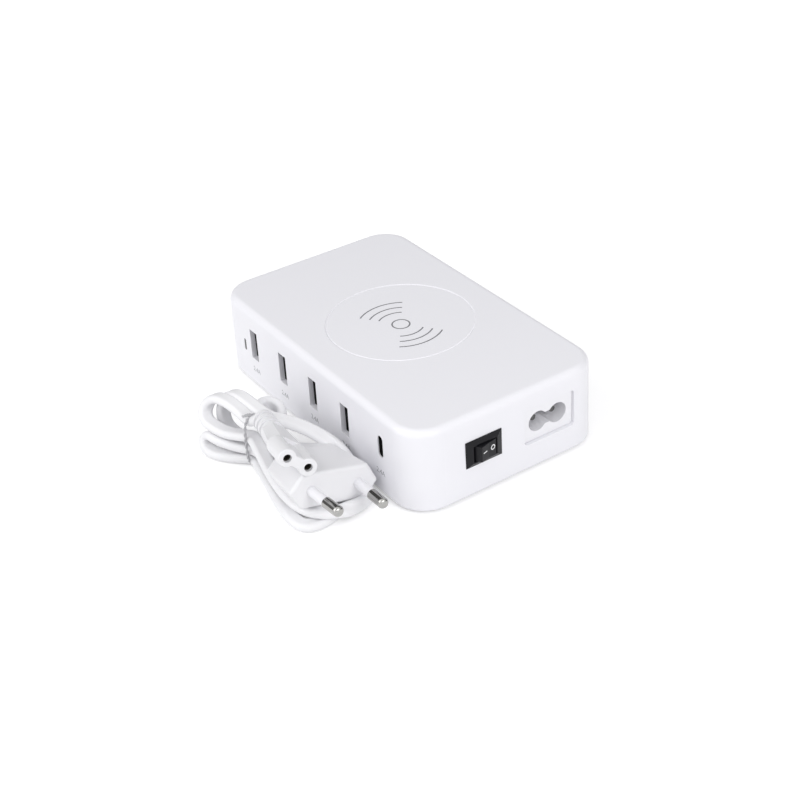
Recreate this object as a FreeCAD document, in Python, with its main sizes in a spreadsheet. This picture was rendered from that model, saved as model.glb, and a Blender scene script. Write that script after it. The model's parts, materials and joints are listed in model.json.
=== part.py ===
import FreeCAD, Part
import math
import os
import re
import Sketcher
from FreeCAD import Placement, Rotation, Vector

# Desktop charging station with its mains lead, in millimetres.
# X runs along the long side, -Y is the side with the sockets, +X the end with the switch and the inlet.
# The origin lies on the table, under the middle of the station's footprint.

# Driving dimensions: name, value, what it measures. Angles are in degrees.
SIZES = [
    ("housing_length", 134.9, "housing along X at its bottom edge"),
    ("housing_width", 82.6, "housing along Y at its bottom edge"),
    ("housing_height", 32.7, "housing without its feet"),
    ("corner_radius", 12.8, "upright corners of the housing"),
    ("top_edge_radius", 2.7, "rounding of the top edge"),
    ("bottom_edge_radius", 1.0, "rounding of the bottom edge"),
    ("draft_angle", 0.8, "inward lean of the sides"),
    ("wall", 2.2, "side walls"),
    ("top_wall", 2.2, "top wall"),
    ("ring_radius", 27.8, "round groove on the top"),
    ("ring_round", 0.55, "radius of the groove's section"),
    ("ring_depth", 0.22, "depth of the groove"),
    ("foot_radius", 5.0, "rubber foot"),
    ("foot_proud", 1.0, "how far a foot lifts the housing"),
    ("foot_sink", 0.6, "depth of a foot's recess"),
    ("foot_inset_x", 20.0, "foot centre from the ends"),
    ("foot_inset_y", 15.0, "foot centre from the long sides"),
    ("base_thickness", 2.0, "base plate"),
    ("base_gap", 0.15, "gap between base plate and housing"),
    ("boss_radius", 3.5, "screw boss of the housing"),
    ("boss_inset_x", 12.0, "boss centre from the ends"),
    ("boss_inset_y", 7.8, "boss centre from the long sides"),
    ("pilot_radius", 1.25, "hole in a boss"),
    ("screw_radius", 1.2, "screw shank"),
    ("screw_head_radius", 2.5, "screw head"),
    ("screw_head_height", 1.1, "screw head"),
    ("screw_length", 8.0, "screw shank under its head"),
    ("standoff_height", 3.0, "main board over the base plate"),
    ("standoff_radius", 2.8, "post under the main board"),
    ("board_thickness", 1.6, "circuit boards"),
    ("board_left_gap", 14.25, "main board from the -X wall"),
    ("board_right_gap", 24.25, "main board from the +X wall"),
    ("board_back_gap", 2.1, "main board from the +Y wall"),
    ("board_front_reach", 8.0, "main board in front of the USB board"),
    ("board_hole_inset", 4.0, "screw hole from the main board's edges"),
    ("usb_a_inset", 26.35, "first USB-A socket from the -X end"),
    ("usb_a_pitch", 21.67, "USB-A spacing"),
    ("usb_a_height", 19.3, "USB-A centre over the table"),
    ("usb_a_inner_width", 5.12, "inside of the USB-A shell, across"),
    ("usb_a_inner_height", 12.5, "inside of the USB-A shell, upright"),
    ("usb_a_back", 3.0, "block at the back of the USB-A shell"),
    ("usb_a_tongue", 1.85, "USB-A tongue"),
    ("usb_a_tongue_side", 0.75, "USB-A tongue off the socket's middle"),
    ("usb_a_tongue_margin", 0.7, "USB-A tongue from the shell's ends"),
    ("usb_a_tip_sink", 1.6, "USB-A tongue behind the shell's mouth"),
    ("strip_sheet", 0.2, "contact strips"),
    ("strip_width", 1.0, "contact strips"),
    ("strip_pitch", 2.3, "contact strips"),
    ("usb_c_inset", 20.45, "USB-C socket from the +X end"),
    ("usb_c_height", 20.7, "USB-C centre over the table"),
    ("usb_c_inner_width", 2.56, "inside of the USB-C shell, across"),
    ("usb_c_inner_height", 8.34, "inside of the USB-C shell, upright"),
    ("usb_c_back", 5.0, "block at the back of the USB-C shell"),
    ("usb_c_tongue", 0.7, "USB-C tongue"),
    ("usb_c_tongue_margin", 0.8, "USB-C tongue from the shell's ends"),
    ("usb_c_tip_sink", 1.0, "USB-C tongue behind the shell's mouth"),
    ("usb_c_sheet", 0.2, "sheet of the USB-C shell"),
    ("usb_c_sink", 0.6, "USB-C mouth behind the front's bottom edge"),
    ("shell_sheet", 0.3, "sheet of the socket shells"),
    ("shell_length", 14.0, "sockets along Y"),
    ("shell_gap", 0.1, "socket mouth behind the wall"),
    ("cut_margin", 0.05, "port cut-out past the shell's inside, each side"),
    ("cut_start", 1.0, "cuts start this far outside the housing"),
    ("pilot_spare", 2.0, "screw holes deeper than the screws"),
    ("usb_board_inset", 16.45, "USB board from the ends"),
    ("usb_board_height", 18.4, "USB board upright"),
    ("lamp_inset", 18.95, "indicator slot from the -X end"),
    ("lamp_height", 16.7, "indicator slot centre over the table"),
    ("lamp_width", 0.9, "indicator slot"),
    ("lamp_length", 4.9, "indicator slot"),
    ("lamp_sink", 0.35, "light pipe behind the wall's face"),
    ("diode_thickness", 0.9, "diode on the USB board"),
    ("diode_width", 1.6, "diode on the USB board"),
    ("diode_height", 3.2, "diode on the USB board"),
    ("seat_depth", 0.33, "flat seat of the switch under the end's bottom edge"),
    ("switch_inset", 29.1, "switch centre from the -Y side"),
    ("switch_z", 18.4, "switch centre over the table"),
    ("frame_width", 15.2, "switch frame along Y"),
    ("frame_height", 10.6, "switch frame upright"),
    ("frame_edge", 0.35, "straight edge of the switch frame"),
    ("frame_rise", 1.2, "switch frame from its seat"),
    ("frame_rim", 0.35, "flat rim round the rocker's opening"),
    ("rocker_opening_width", 9.9, "opening of the switch frame along Y"),
    ("rocker_opening_height", 6.65, "opening of the switch frame upright"),
    ("switch_depth", 12.0, "switch body behind its seat"),
    ("switch_side", 0.9, "side walls of the switch body"),
    ("switch_end", 1.5, "end walls of the switch body"),
    ("pivot_depth", 1.4, "rocker pivot behind the seat"),
    ("pivot_radius", 1.0, "rocker trunnions"),
    ("pivot_gap", 0.05, "running clearance of the trunnions"),
    ("rocker_tilt", 13.0, "rocker from its middle position"),
    ("rocker_half", 3.6, "rocker ridge from its middle"),
    ("rocker_reach", 3.7, "rocker ridge from the pivot"),
    ("rocker_dish", 0.2, "hollow of the rocker's face"),
    ("rocker_shoulder", 4.55, "widest half of the rocker"),
    ("rocker_gap", 0.3, "rocker from the opening's long sides"),
    ("rocker_shoulder_rise", 0.6, "widest part of the rocker over the pivot"),
    ("rocker_foot", 2.8, "half of the rocker's foot"),
    ("rocker_drop", 3.0, "rocker's foot under the pivot"),
    ("tab_length", 6.0, "switch terminals"),
    ("tab_sheet", 0.8, "switch terminals"),
    ("tab_height", 4.6, "switch terminals"),
    ("tab_side", 3.4, "switch terminals from the switch's middle"),
    ("inlet_inset", 24.7, "inlet centre from the +Y side"),
    ("inlet_z", 18.7, "inlet centre over the table"),
    ("inlet_width", 22.0, "inlet body along Y"),
    ("inlet_height", 14.3, "inlet body upright"),
    ("inlet_corner", 1.2, "corners of the inlet body"),
    ("inlet_gap", 0.12, "inlet body from its cut-out"),
    ("inlet_recess", 1.5, "inlet face behind the end"),
    ("inlet_depth", 16.0, "inlet body along X"),
    ("inlet_lip", 1.4, "inlet flange past the body, each side"),
    ("inlet_flange", 1.5, "inlet flange"),
    ("inlet_well", 11.5, "depth of the figure-8 well"),
    ("inlet_lobe", 4.0, "radius of the well's lobes"),
    ("inlet_waist", 2.4, "half height of the well's waist"),
    ("pole_spacing", 8.6, "poles of the inlet and the connector"),
    ("inlet_pin_radius", 1.2, "inlet pins"),
    ("inlet_pin_sink", 2.8, "pin tips behind the inlet's face"),
    ("inlet_tail", 3.0, "pin tails behind the inlet body"),
    ("coil_radius", 21.5, "wireless coil, outside"),
    ("coil_hole", 10.0, "wireless coil, inside"),
    ("coil_thickness", 1.2, "wireless coil"),
    ("ferrite_radius", 24.0, "ferrite disc"),
    ("ferrite_thickness", 1.0, "ferrite disc"),
    ("wireless_length", 76.0, "wireless board along X"),
    ("wireless_width", 44.0, "wireless board along Y"),
    ("wireless_inset", 4.0, "screw hole from the wireless board's edges"),
    ("feed_radius", 0.6, "wires to the wireless board"),
    ("feed_inset", 5.0, "wires from the wireless board's end"),
    ("feed_pitch", 2.0, "wires to the wireless board"),
    ("wire_radius", 1.0, "mains wires"),
    ("wire_bend", 2.5, "bends of the mains wires"),
    ("can_radius", 7.0, "bulk capacitor"),
    ("can_length", 25.0, "bulk capacitor"),
    ("can_left", 10.0, "bulk capacitor from the main board's -X edge"),
    ("can_back", 7.0, "bulk capacitor from the main board's +Y edge"),
    ("core_length", 26.0, "transformer core"),
    ("core_width", 14.0, "transformer core"),
    ("core_height", 17.0, "transformer core"),
    ("core_leg", 5.0, "legs of the transformer core"),
    ("core_left", 34.0, "transformer from the main board's -X edge"),
    ("core_back", 23.0, "transformer from the main board's +Y edge"),
    ("winding_width", 24.0, "transformer winding"),
    ("winding_room", 0.15, "winding from the core"),
    ("sink_length", 29.0, "heat sink"),
    ("sink_sheet", 1.6, "heat sink"),
    ("sink_height", 15.0, "heat sink"),
    ("sink_left", 35.5, "heat sink from the main board's -X edge"),
    ("sink_front", 21.0, "heat sink from the main board's -Y edge"),
    ("small_can_radius", 4.0, "output capacitors"),
    ("small_can_height", 13.0, "output capacitors"),
    ("small_can_left", 11.0, "first output capacitor from the main board's -X edge"),
    ("small_can_front", 19.0, "first output capacitor from the main board's -Y edge"),
    ("small_can_back", 5.5, "other output capacitors from the main board's +Y edge"),
    ("film_length", 8.0, "X capacitor along X"),
    ("film_width", 17.0, "X capacitor along Y"),
    ("film_height", 13.0, "X capacitor"),
    ("film_right", 19.0, "X capacitor from the main board's +X edge"),
    ("film_back", 13.0, "X capacitor from the main board's +Y edge"),
    ("bridge_length", 12.0, "bridge rectifier along X"),
    ("bridge_width", 4.0, "bridge rectifier along Y"),
    ("bridge_height", 10.0, "bridge rectifier"),
    ("bridge_front", 19.0, "bridge rectifier from the main board's -Y edge"),
    ("fuse_radius", 2.5, "fuse"),
    ("fuse_length", 15.0, "fuse"),
    ("fuse_right", 9.0, "fuse from the main board's +X edge"),
    ("fuse_back", 21.0, "fuse from the main board's +Y edge"),
    ("choke_ring", 5.0, "mains choke, middle of its ring"),
    ("choke_wire", 3.0, "mains choke, half of its section"),
    ("choke_right", 21.0, "mains choke from the main board's +X edge"),
    ("choke_back", 32.0, "mains choke from the main board's +Y edge"),
    ("plug_x", 45.5, "front of the plug"),
    ("plug_out", 18.7, "front of the plug from the housing's -Y side"),
    ("plug_z", 12.3, "front of the plug over the table"),
    ("plug_yaw", -1.7, "turn of the plug"),
    ("plug_pitch", -6.9, "nose of the plug up"),
    ("plug_roll", -13.4, "roll of the plug"),
    ("plug_width", 34.6, "plug across its corners"),
    ("plug_flat", 25.6, "flat top of the plug"),
    ("plug_thickness", 13.0, "plug across its flats"),
    ("plug_front", 21.0, "straight part of the plug"),
    ("plug_middle_width", 30.4, "plug where it starts to narrow"),
    ("plug_middle_flat", 21.0, "plug where it starts to narrow"),
    ("plug_middle_thickness", 12.5, "plug where it starts to narrow"),
    ("plug_neck_width", 11.2, "neck of the plug"),
    ("plug_neck_flat", 6.0, "neck of the plug"),
    ("plug_neck_thickness", 8.0, "neck of the plug"),
    ("plug_back", 31.0, "plug to its neck"),
    ("plug_length", 43.0, "plug with its strain relief"),
    ("plug_edge", 1.2, "rounded edges of the plug"),
    ("connector_edge", 0.5, "rounded edge of the connector's face"),
    ("pin_tip_round", 1.4, "rounded ends of the pins"),
    ("plug_pin_spacing", 18.2, "plug pins"),
    ("plug_pin_lean", 1.7, "each pin leans towards the other"),
    ("plug_pin_radius", 2.0, "plug pins"),
    ("plug_pin_length", 18.6, "plug pins"),
    ("plug_sleeve", 10.0, "insulated part of the pins"),
    ("pin_core_radius", 1.3, "pin inside its sleeve"),
    ("pin_anchor", 6.0, "pin inside the plug"),
    ("sleeve_step", 0.2, "sleeve thinner than the bare pin, each side"),
    ("connector_x", 44.9, "face of the connector"),
    ("connector_out", 31.3, "face of the connector from the housing's -Y side"),
    ("connector_z", 27.6, "face of the connector over the table"),
    ("connector_yaw", -10.5, "turn of the connector"),
    ("connector_pitch", -7.4, "nose of the connector up"),
    ("connector_roll", -40.0, "roll of the connector"),
    ("connector_lobe", 3.3, "lobes of the connector"),
    ("connector_waist", 2.0, "half height of the connector's waist"),
    ("connector_nose", 12.0, "straight part of the connector"),
    ("connector_back", 26.0, "connector to its neck"),
    ("connector_neck_width", 9.2, "neck of the connector"),
    ("connector_neck_flat", 5.2, "neck of the connector"),
    ("connector_neck_thickness", 6.6, "neck of the connector"),
    ("connector_hole", 1.5, "holes of the connector"),
    ("connector_hole_depth", 10.0, "holes of the connector"),
    ("contact_radius", 1.2, "inside of the contact sleeves"),
    ("contact_sink", 1.5, "contact sleeves behind the connector's face"),
    ("connector_length", 37.0, "connector with its strain relief"),
    ("neck_radius", 3.3, "strain reliefs between their ribs"),
    ("rib_radius", 4.0, "ribs of the strain reliefs"),
    ("rib_width", 1.4, "ribs of the strain reliefs"),
    ("tie_width", 1.8, "tie round the hank"),
    ("tie_thickness", 0.9, "tie round the hank"),
]
SIZE_NAMES = {name for name, value, note in SIZES}

doc = FreeCAD.newDocument("charging_station")
sheet = doc.addObject("Spreadsheet::Sheet", "Sizes")
for row, (name, value, note) in enumerate(SIZES, start=1):
    sheet.set(f"A{row}", name)
    sheet.set(f"B{row}", str(value))
    sheet.set(f"C{row}", note)
    sheet.setAlias(f"B{row}", name)
doc.recompute()

# Every sub-part that is written out, by its name.
parts = {}

# Levels that several sub-parts share.
BASE_TOP = "foot_proud + base_thickness"
BOARD_TOP = f"({BASE_TOP} + standoff_height + board_thickness)"
CEILING = "(foot_proud + housing_height - top_wall)"
FRONT_INNER = "(-housing_width / 2 + wall + shell_gap)"
USB_BOARD_FRONT = f"({FRONT_INNER} + shell_length)"
BOARD_LEFT = "(-housing_length / 2 + wall + board_left_gap)"
BOARD_RIGHT = "(housing_length / 2 - wall - board_right_gap)"
BOARD_FRONT = f"({USB_BOARD_FRONT} - board_front_reach)"
BOARD_BACK = "(housing_width / 2 - wall - board_back_gap)"
BOARD_LENGTH = f"({BOARD_RIGHT} - {BOARD_LEFT})"
BOARD_WIDTH = f"({BOARD_BACK} - {BOARD_FRONT})"
BOARD_X = f"({BOARD_RIGHT} + {BOARD_LEFT}) / 2"
BOARD_Y = f"({BOARD_BACK} + {BOARD_FRONT}) / 2"
LAMP_X = "(lamp_inset - housing_length / 2)"
USB_C_X = "(housing_length / 2 - usb_c_inset)"
SWITCH_Y = "(switch_inset - housing_width / 2)"
INLET_Y = "(housing_width / 2 - inlet_inset)"
FERRITE_TOP = f"({CEILING} - coil_thickness)"
WIRELESS_TOP = f"({FERRITE_TOP} - ferrite_thickness)"
SEAT_X = "(housing_length / 2 - seat_depth)"
INLET_FACE_X = "(housing_length / 2 - inlet_recess)"
ROCKER_RIDGE = "(rocker_reach * cos(rocker_tilt) + rocker_half * sin(rocker_tilt) - pivot_depth)"
# The rocker's raised end stands past the housing, so the station sits back by half of that.
SIT_BACK = f"({ROCKER_RIDGE} - seat_depth) / 2"
CORNERS = [(sx, sy) for sx in (-1, 1) for sy in (-1, 1)]


def size(name):
    return float(sheet.get(name))


# Writes an expression's sizes with the sheet that holds them.
def tied(text):
    def owner(word):
        return f"Sizes.{word.group()}" if word.group() in SIZE_NAMES else word.group()
    return re.sub(r"[a-z][a-z0-9_]*", owner, text)


def bind(part, prop, text):
    part.setExpression(prop, tied(text))


# Places a sub-part of the station, in the housing's own frame.
def place(part, x="0", y="0", z="0"):
    bind(part, "Placement.Base.x", f"{x} - {SIT_BACK}")
    bind(part, "Placement.Base.y", y)
    bind(part, "Placement.Base.z", z)


def keep(label, part):
    part.Label = label
    parts[label] = part
    return part


def new_body(label):
    return keep(label, doc.addObject("PartDesign::Body", label))


# Opens a sketch on one of the body's own planes, moved along its normal and in its plane.
def sketch_on(body, plane, lift="0", across="0", up="0"):
    sketch = body.newObject("Sketcher::SketchObject", f"{body.Name}_sketch")
    support = next(f for f in body.Origin.OriginFeatures if f.Role == plane)
    sketch.AttachmentSupport = (support, [""])
    sketch.MapMode = "FlatFace"
    bind(sketch, "AttachmentOffset.Base.x", across)
    bind(sketch, "AttachmentOffset.Base.y", up)
    bind(sketch, "AttachmentOffset.Base.z", lift)
    return sketch


def constrain(sketch, *spec, value=None):
    start = [1.0] if value else []
    index = sketch.addConstraint(Sketcher.Constraint(*spec, *start))
    if value:
        bind(sketch, f"Constraints[{index}]", value)


# Rectangle about the sketch's origin.
def rectangle(sketch, width, height):
    corners = [Vector(-2, -1, 0), Vector(2, -1, 0), Vector(2, 1, 0), Vector(-2, 1, 0)]
    polygon(sketch, corners)
    constrain(sketch, "Horizontal", 0)
    constrain(sketch, "Vertical", 1)
    constrain(sketch, "Horizontal", 2)
    constrain(sketch, "Vertical", 3)
    constrain(sketch, "Symmetric", 0, 1, 2, 1, -1, 1)
    constrain(sketch, "DistanceX", 0, 1, 0, 2, value=width)
    constrain(sketch, "DistanceY", 1, 1, 1, 2, value=height)


# Closed outline of straight lines, joined at its corners.
def polygon(sketch, corners):
    count = len(corners)
    for index in range(count):
        sketch.addGeometry(Part.LineSegment(corners[index], corners[(index + 1) % count]))
    for index in range(count):
        constrain(sketch, "Coincident", index, 2, (index + 1) % count, 1)


# Rectangle with round corners about the sketch's origin.
def rounded_rectangle(sketch, width, height, radius):
    up = Vector(0, 0, 1)
    half_x, half_y, start_radius = 20.0, 10.0, 2.0
    turns = [(1, -1, -0.5), (1, 1, 0.0), (-1, 1, 0.5), (-1, -1, 1.0)]
    ends = []
    for side_x, side_y, turn in turns:
        centre = Vector(side_x * (half_x - start_radius), side_y * (half_y - start_radius), 0)
        arc = Part.ArcOfCircle(Part.Circle(centre, up, start_radius), turn * math.pi, (turn + 0.5) * math.pi)
        sketch.addGeometry(arc)
        ends.append((arc.StartPoint, arc.EndPoint))
    for index in range(4):
        sketch.addGeometry(Part.LineSegment(ends[index][1], ends[(index + 1) % 4][0]))
    for index in range(4):
        line = 4 + index
        constrain(sketch, "Tangent", index, 2, line, 1)
        constrain(sketch, "Tangent", line, 2, (index + 1) % 4, 1)
        constrain(sketch, "Vertical" if index % 2 == 0 else "Horizontal", line)
    for index in range(1, 4):
        constrain(sketch, "Equal", 0, index)
    constrain(sketch, "Symmetric", 0, 3, 2, 3, -1, 1)
    constrain(sketch, "Radius", 0, value=radius)
    constrain(sketch, "DistanceX", 3, 3, 0, 3, value=f"{width} - 2 * ({radius})")
    constrain(sketch, "DistanceY", 0, 3, 1, 3, value=f"{height} - 2 * ({radius})")


# Upright stadium about the sketch's origin.
def stadium(sketch, width, length):
    up = Vector(0, 0, 1)
    sketch.addGeometry(Part.ArcOfCircle(Part.Circle(Vector(0, 2, 0), up, 1), 0, math.pi))
    sketch.addGeometry(Part.LineSegment(Vector(-1, 2, 0), Vector(-1, -2, 0)))
    sketch.addGeometry(Part.ArcOfCircle(Part.Circle(Vector(0, -2, 0), up, 1), math.pi, 2 * math.pi))
    sketch.addGeometry(Part.LineSegment(Vector(1, -2, 0), Vector(1, 2, 0)))
    for index in range(4):
        constrain(sketch, "Tangent", index, 2, (index + 1) % 4, 1)
    constrain(sketch, "Vertical", 1)
    constrain(sketch, "Equal", 0, 2)
    constrain(sketch, "Symmetric", 0, 3, 2, 3, -1, 1)
    constrain(sketch, "Radius", 0, value=f"({width}) / 2")
    constrain(sketch, "DistanceY", 2, 3, 0, 3, value=f"{length} - ({width})")


# Circles of one radius with their centres at the given places.
def circles(sketch, centres, radius):
    for index, (x, y) in enumerate(centres):
        sketch.addGeometry(Part.Circle(Vector(index, index, 0), Vector(0, 0, 1), 1))
        constrain(sketch, "DistanceX", -1, 1, index, 3, value=x)
        constrain(sketch, "DistanceY", -1, 1, index, 3, value=y)
        constrain(sketch, "Radius", index, value=radius)


def extrude(kind, body, sketch, length, reverse, taper):
    feature = body.newObject(f"PartDesign::{kind}", f"{body.Name}_{kind.lower()}")
    feature.Profile = sketch
    bind(feature, "Length", length)
    feature.Reversed = reverse
    if taper:
        bind(feature, "TaperAngle", taper)
    return feature


def pad(body, sketch, length, reverse=False, taper=None):
    return extrude("Pad", body, sketch, length, reverse, taper)


def pocket(body, sketch, length, reverse=False):
    return extrude("Pocket", body, sketch, length, reverse, None)


def loft(body, first, later):
    feature = body.newObject("PartDesign::AdditiveLoft", f"{body.Name}_loft")
    feature.Profile = first
    feature.Sections = later
    feature.Ruled = True
    return feature


# Rounds the edges of a feature that pass a test.
def round_edges(body, base, radius, chosen):
    doc.recompute()
    names = [f"Edge{n}" for n, edge in enumerate(base.Shape.Edges, start=1) if chosen(edge.BoundBox)]
    feature = body.newObject("PartDesign::Fillet", f"{body.Name}_fillet")
    feature.Base = (base, names)
    bind(feature, "Radius", radius)
    return feature


# Block with its centre at x and y and its bottom at z.
def block(name, length, width, height, x, y, z):
    part = doc.addObject("Part::Box", name)
    bind(part, "Length", length)
    bind(part, "Width", width)
    bind(part, "Height", height)
    place(part, f"{x} - ({length}) / 2", f"{y} - ({width}) / 2", z)
    return part


# Rod from a point along one axis.
def rod(name, radius, length, x, y, z, along="Z"):
    part = doc.addObject("Part::Cylinder", name)
    turns = {"X": Rotation(Vector(0, 1, 0), 90), "Y": Rotation(Vector(1, 0, 0), -90), "Z": Rotation()}
    part.Placement = Placement(Vector(), turns[along])
    bind(part, "Radius", radius)
    bind(part, "Height", length)
    place(part, x, y, z)
    return part


def cut(name, base, tool):
    part = doc.addObject("Part::Cut", name)
    part.Base = base
    part.Tool = tool
    return part


def fuse(name, first, second):
    part = doc.addObject("Part::Fuse", name)
    part.Base = first
    part.Tool = second
    return part


def group(label, members):
    part = doc.addObject("Part::Compound", label)
    part.Links = members
    return keep(label, part)


# Four places, mirrored in both directions about a centre.
def four_places(half_x, half_y, x="0", y="0"):
    return [(f"{x} + {sx} * ({half_x})", f"{y} + {sy} * ({half_y})") for sx, sy in CORNERS]


BOSS_PLACES = four_places("housing_length / 2 - boss_inset_x", "housing_width / 2 - boss_inset_y")
FOOT_PLACES = four_places("housing_length / 2 - foot_inset_x", "housing_width / 2 - foot_inset_y")
BOARD_HOLES = four_places(f"{BOARD_LENGTH} / 2 - board_hole_inset", f"{BOARD_WIDTH} / 2 - board_hole_inset",
                          BOARD_X, BOARD_Y)
WIRELESS_HOLES = four_places("wireless_length / 2 - wireless_inset", "wireless_width / 2 - wireless_inset")
USB_A_PLACES = [f"(usb_a_inset - housing_length / 2 + {index} * usb_a_pitch)" for index in range(4)]
POLES = ["-pole_spacing / 2", "pole_spacing / 2"]
THROUGH = "wall + 3 * cut_start"
OUTSIDE_FRONT = "housing_width / 2 + cut_start"
OUTSIDE_END = "housing_length / 2 + cut_start"
# Edges this close to a plane count as lying on it, in mm.
FLAT = 0.01
STRAIN_RIBS = 4


# One moulded shell: leaning sides, rounded edges, hollow from below, with its cut-outs and bosses.
def make_housing():
    body = new_body("housing")
    outline = sketch_on(body, "XY_Plane", lift="foot_proud")
    rounded_rectangle(outline, "housing_length", "housing_width", "corner_radius")
    solid = pad(body, outline, "housing_height", taper="-draft_angle")
    top = size("foot_proud") + size("housing_height")
    solid = round_edges(body, solid, "top_edge_radius", lambda box: box.ZMin > top - FLAT)
    bottom = size("foot_proud")
    round_edges(body, solid, "bottom_edge_radius", lambda box: box.ZMax < bottom + FLAT)

    hollow = sketch_on(body, "XY_Plane", lift="foot_proud")
    rounded_rectangle(hollow, "housing_length - 2 * wall", "housing_width - 2 * wall", "corner_radius - wall")
    pocket(body, hollow, "housing_height - top_wall", reverse=True)

    bosses = sketch_on(body, "XY_Plane", lift=BASE_TOP)
    circles(bosses, BOSS_PLACES, "boss_radius")
    pad(body, bosses, "housing_height - base_thickness - top_wall / 2")
    pilots = sketch_on(body, "XY_Plane", lift=BASE_TOP)
    circles(pilots, BOSS_PLACES, "pilot_radius")
    pocket(body, pilots, "screw_length + pilot_spare", reverse=True)
    posts = sketch_on(body, "XY_Plane", lift=WIRELESS_TOP)
    circles(posts, WIRELESS_HOLES, "standoff_radius")
    pad(body, posts, "coil_thickness + ferrite_thickness + top_wall / 2")
    holes = sketch_on(body, "XY_Plane", lift=WIRELESS_TOP)
    circles(holes, WIRELESS_HOLES, "pilot_radius")
    pocket(body, holes, "coil_thickness + ferrite_thickness + top_wall / 3", reverse=True)

    for x in USB_A_PLACES:
        mouth = sketch_on(body, "XZ_Plane", OUTSIDE_FRONT, x, "usb_a_height")
        rectangle(mouth, "usb_a_inner_width + 2 * cut_margin", "usb_a_inner_height + 2 * cut_margin")
        pocket(body, mouth, THROUGH)
    mouth = sketch_on(body, "XZ_Plane", OUTSIDE_FRONT, USB_C_X, "usb_c_height")
    around = "2 * (usb_c_sheet + cut_margin)"
    stadium(mouth, f"usb_c_inner_width + {around}", f"usb_c_inner_height + {around}")
    pocket(body, mouth, THROUGH)
    slot = sketch_on(body, "XZ_Plane", OUTSIDE_FRONT, LAMP_X, "lamp_height")
    stadium(slot, "lamp_width", "lamp_length")
    pocket(body, slot, THROUGH)

    seat = sketch_on(body, "YZ_Plane", OUTSIDE_END, SWITCH_Y, "switch_z")
    rectangle(seat, "frame_width + 2 * cut_margin", "frame_height + 2 * cut_margin")
    pocket(body, seat, "cut_start + seat_depth")
    opening = sketch_on(body, "YZ_Plane", OUTSIDE_END, SWITCH_Y, "switch_z")
    rectangle(opening, "rocker_opening_width + 2 * switch_end + 4 * cut_margin",
              "rocker_opening_height + 2 * switch_side + 4 * cut_margin")
    pocket(body, opening, THROUGH)
    opening = sketch_on(body, "YZ_Plane", OUTSIDE_END, INLET_Y, "inlet_z")
    rounded_rectangle(opening, "inlet_width + 2 * inlet_gap", "inlet_height + 2 * inlet_gap",
                      "inlet_corner + inlet_gap")
    pocket(body, opening, THROUGH)

    section = sketch_on(body, "XZ_Plane")
    circles(section, [("ring_radius", "foot_proud + housing_height + ring_round - ring_depth")], "ring_round")
    ring = body.newObject("PartDesign::Groove", "ring_groove")
    ring.Profile = section
    ring.ReferenceAxis = (section, ["V_Axis"])
    ring.Angle = 360
    place(body)


# Base plate inside the housing's rim, with recesses for the feet, screw holes and board posts.
def make_base_plate():
    body = new_body("base_plate")
    outline = sketch_on(body, "XY_Plane", lift="foot_proud")
    rim = "2 * (wall + base_gap)"
    rounded_rectangle(outline, f"housing_length - {rim}", f"housing_width - {rim}",
                      "corner_radius - wall - base_gap")
    pad(body, outline, "base_thickness")
    posts = sketch_on(body, "XY_Plane", lift=BASE_TOP)
    circles(posts, BOARD_HOLES, "standoff_radius")
    pad(body, posts, "standoff_height")
    holes = sketch_on(body, "XY_Plane", lift=f"{BASE_TOP} + standoff_height")
    circles(holes, BOARD_HOLES, "pilot_radius")
    pocket(body, holes, "standoff_height + base_thickness / 2")
    recesses = sketch_on(body, "XY_Plane", lift="foot_proud")
    circles(recesses, FOOT_PLACES, "foot_radius + base_gap")
    pocket(body, recesses, "foot_sink", reverse=True)
    holes = sketch_on(body, "XY_Plane", lift="foot_proud")
    circles(holes, BOSS_PLACES, "pilot_radius + base_gap")
    pocket(body, holes, "base_thickness", reverse=True)
    heads = sketch_on(body, "XY_Plane", lift="foot_proud")
    circles(heads, BOSS_PLACES, "screw_head_radius + base_gap")
    pocket(body, heads, "screw_head_height", reverse=True)
    place(body)


def make_feet():
    for name, (x, y) in zip(("front_left", "rear_left", "front_right", "rear_right"), FOOT_PLACES):
        keep(f"foot_{name}", rod(f"foot_{name}", "foot_radius", "foot_proud + foot_sink", x, y, "0"))


# Screw with its head's flat side at z; it points up or down.
def screw(name, x, y, z, length, up):
    head_z = f"{z} - screw_head_height" if up else z
    shank_z = z if up else f"{z} - ({length})"
    head = rod(f"{name}_head", "screw_head_radius", "screw_head_height", x, y, head_z)
    shank = rod(f"{name}_shank", "screw_radius", length, x, y, shank_z)
    return fuse(name, head, shank)


def make_screws():
    case_z = "foot_proud + screw_head_height"
    group("case_screws", [screw(f"case_screw_{n}", x, y, case_z, "screw_length", True)
                          for n, (x, y) in enumerate(BOSS_PLACES)])
    board_length = "board_thickness + standoff_height"
    group("board_screws", [screw(f"board_screw_{n}", x, y, BOARD_TOP, board_length, False)
                           for n, (x, y) in enumerate(BOARD_HOLES)])
    wireless_z = f"{WIRELESS_TOP} - board_thickness"
    wireless_length = "board_thickness + coil_thickness + ferrite_thickness"
    group("wireless_screws", [screw(f"wireless_screw_{n}", x, y, wireless_z, wireless_length, True)
                              for n, (x, y) in enumerate(WIRELESS_HOLES)])


# Flat board with its screw holes.
def make_board(label, length, width, x, y, z, holes):
    body = new_body(label)
    outline = sketch_on(body, "XY_Plane", z, x, y)
    rectangle(outline, length, width)
    pad(body, outline, "board_thickness")
    drilled = sketch_on(body, "XY_Plane", z)
    circles(drilled, holes, "pilot_radius")
    pocket(body, drilled, "board_thickness", reverse=True)
    place(body)


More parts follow.
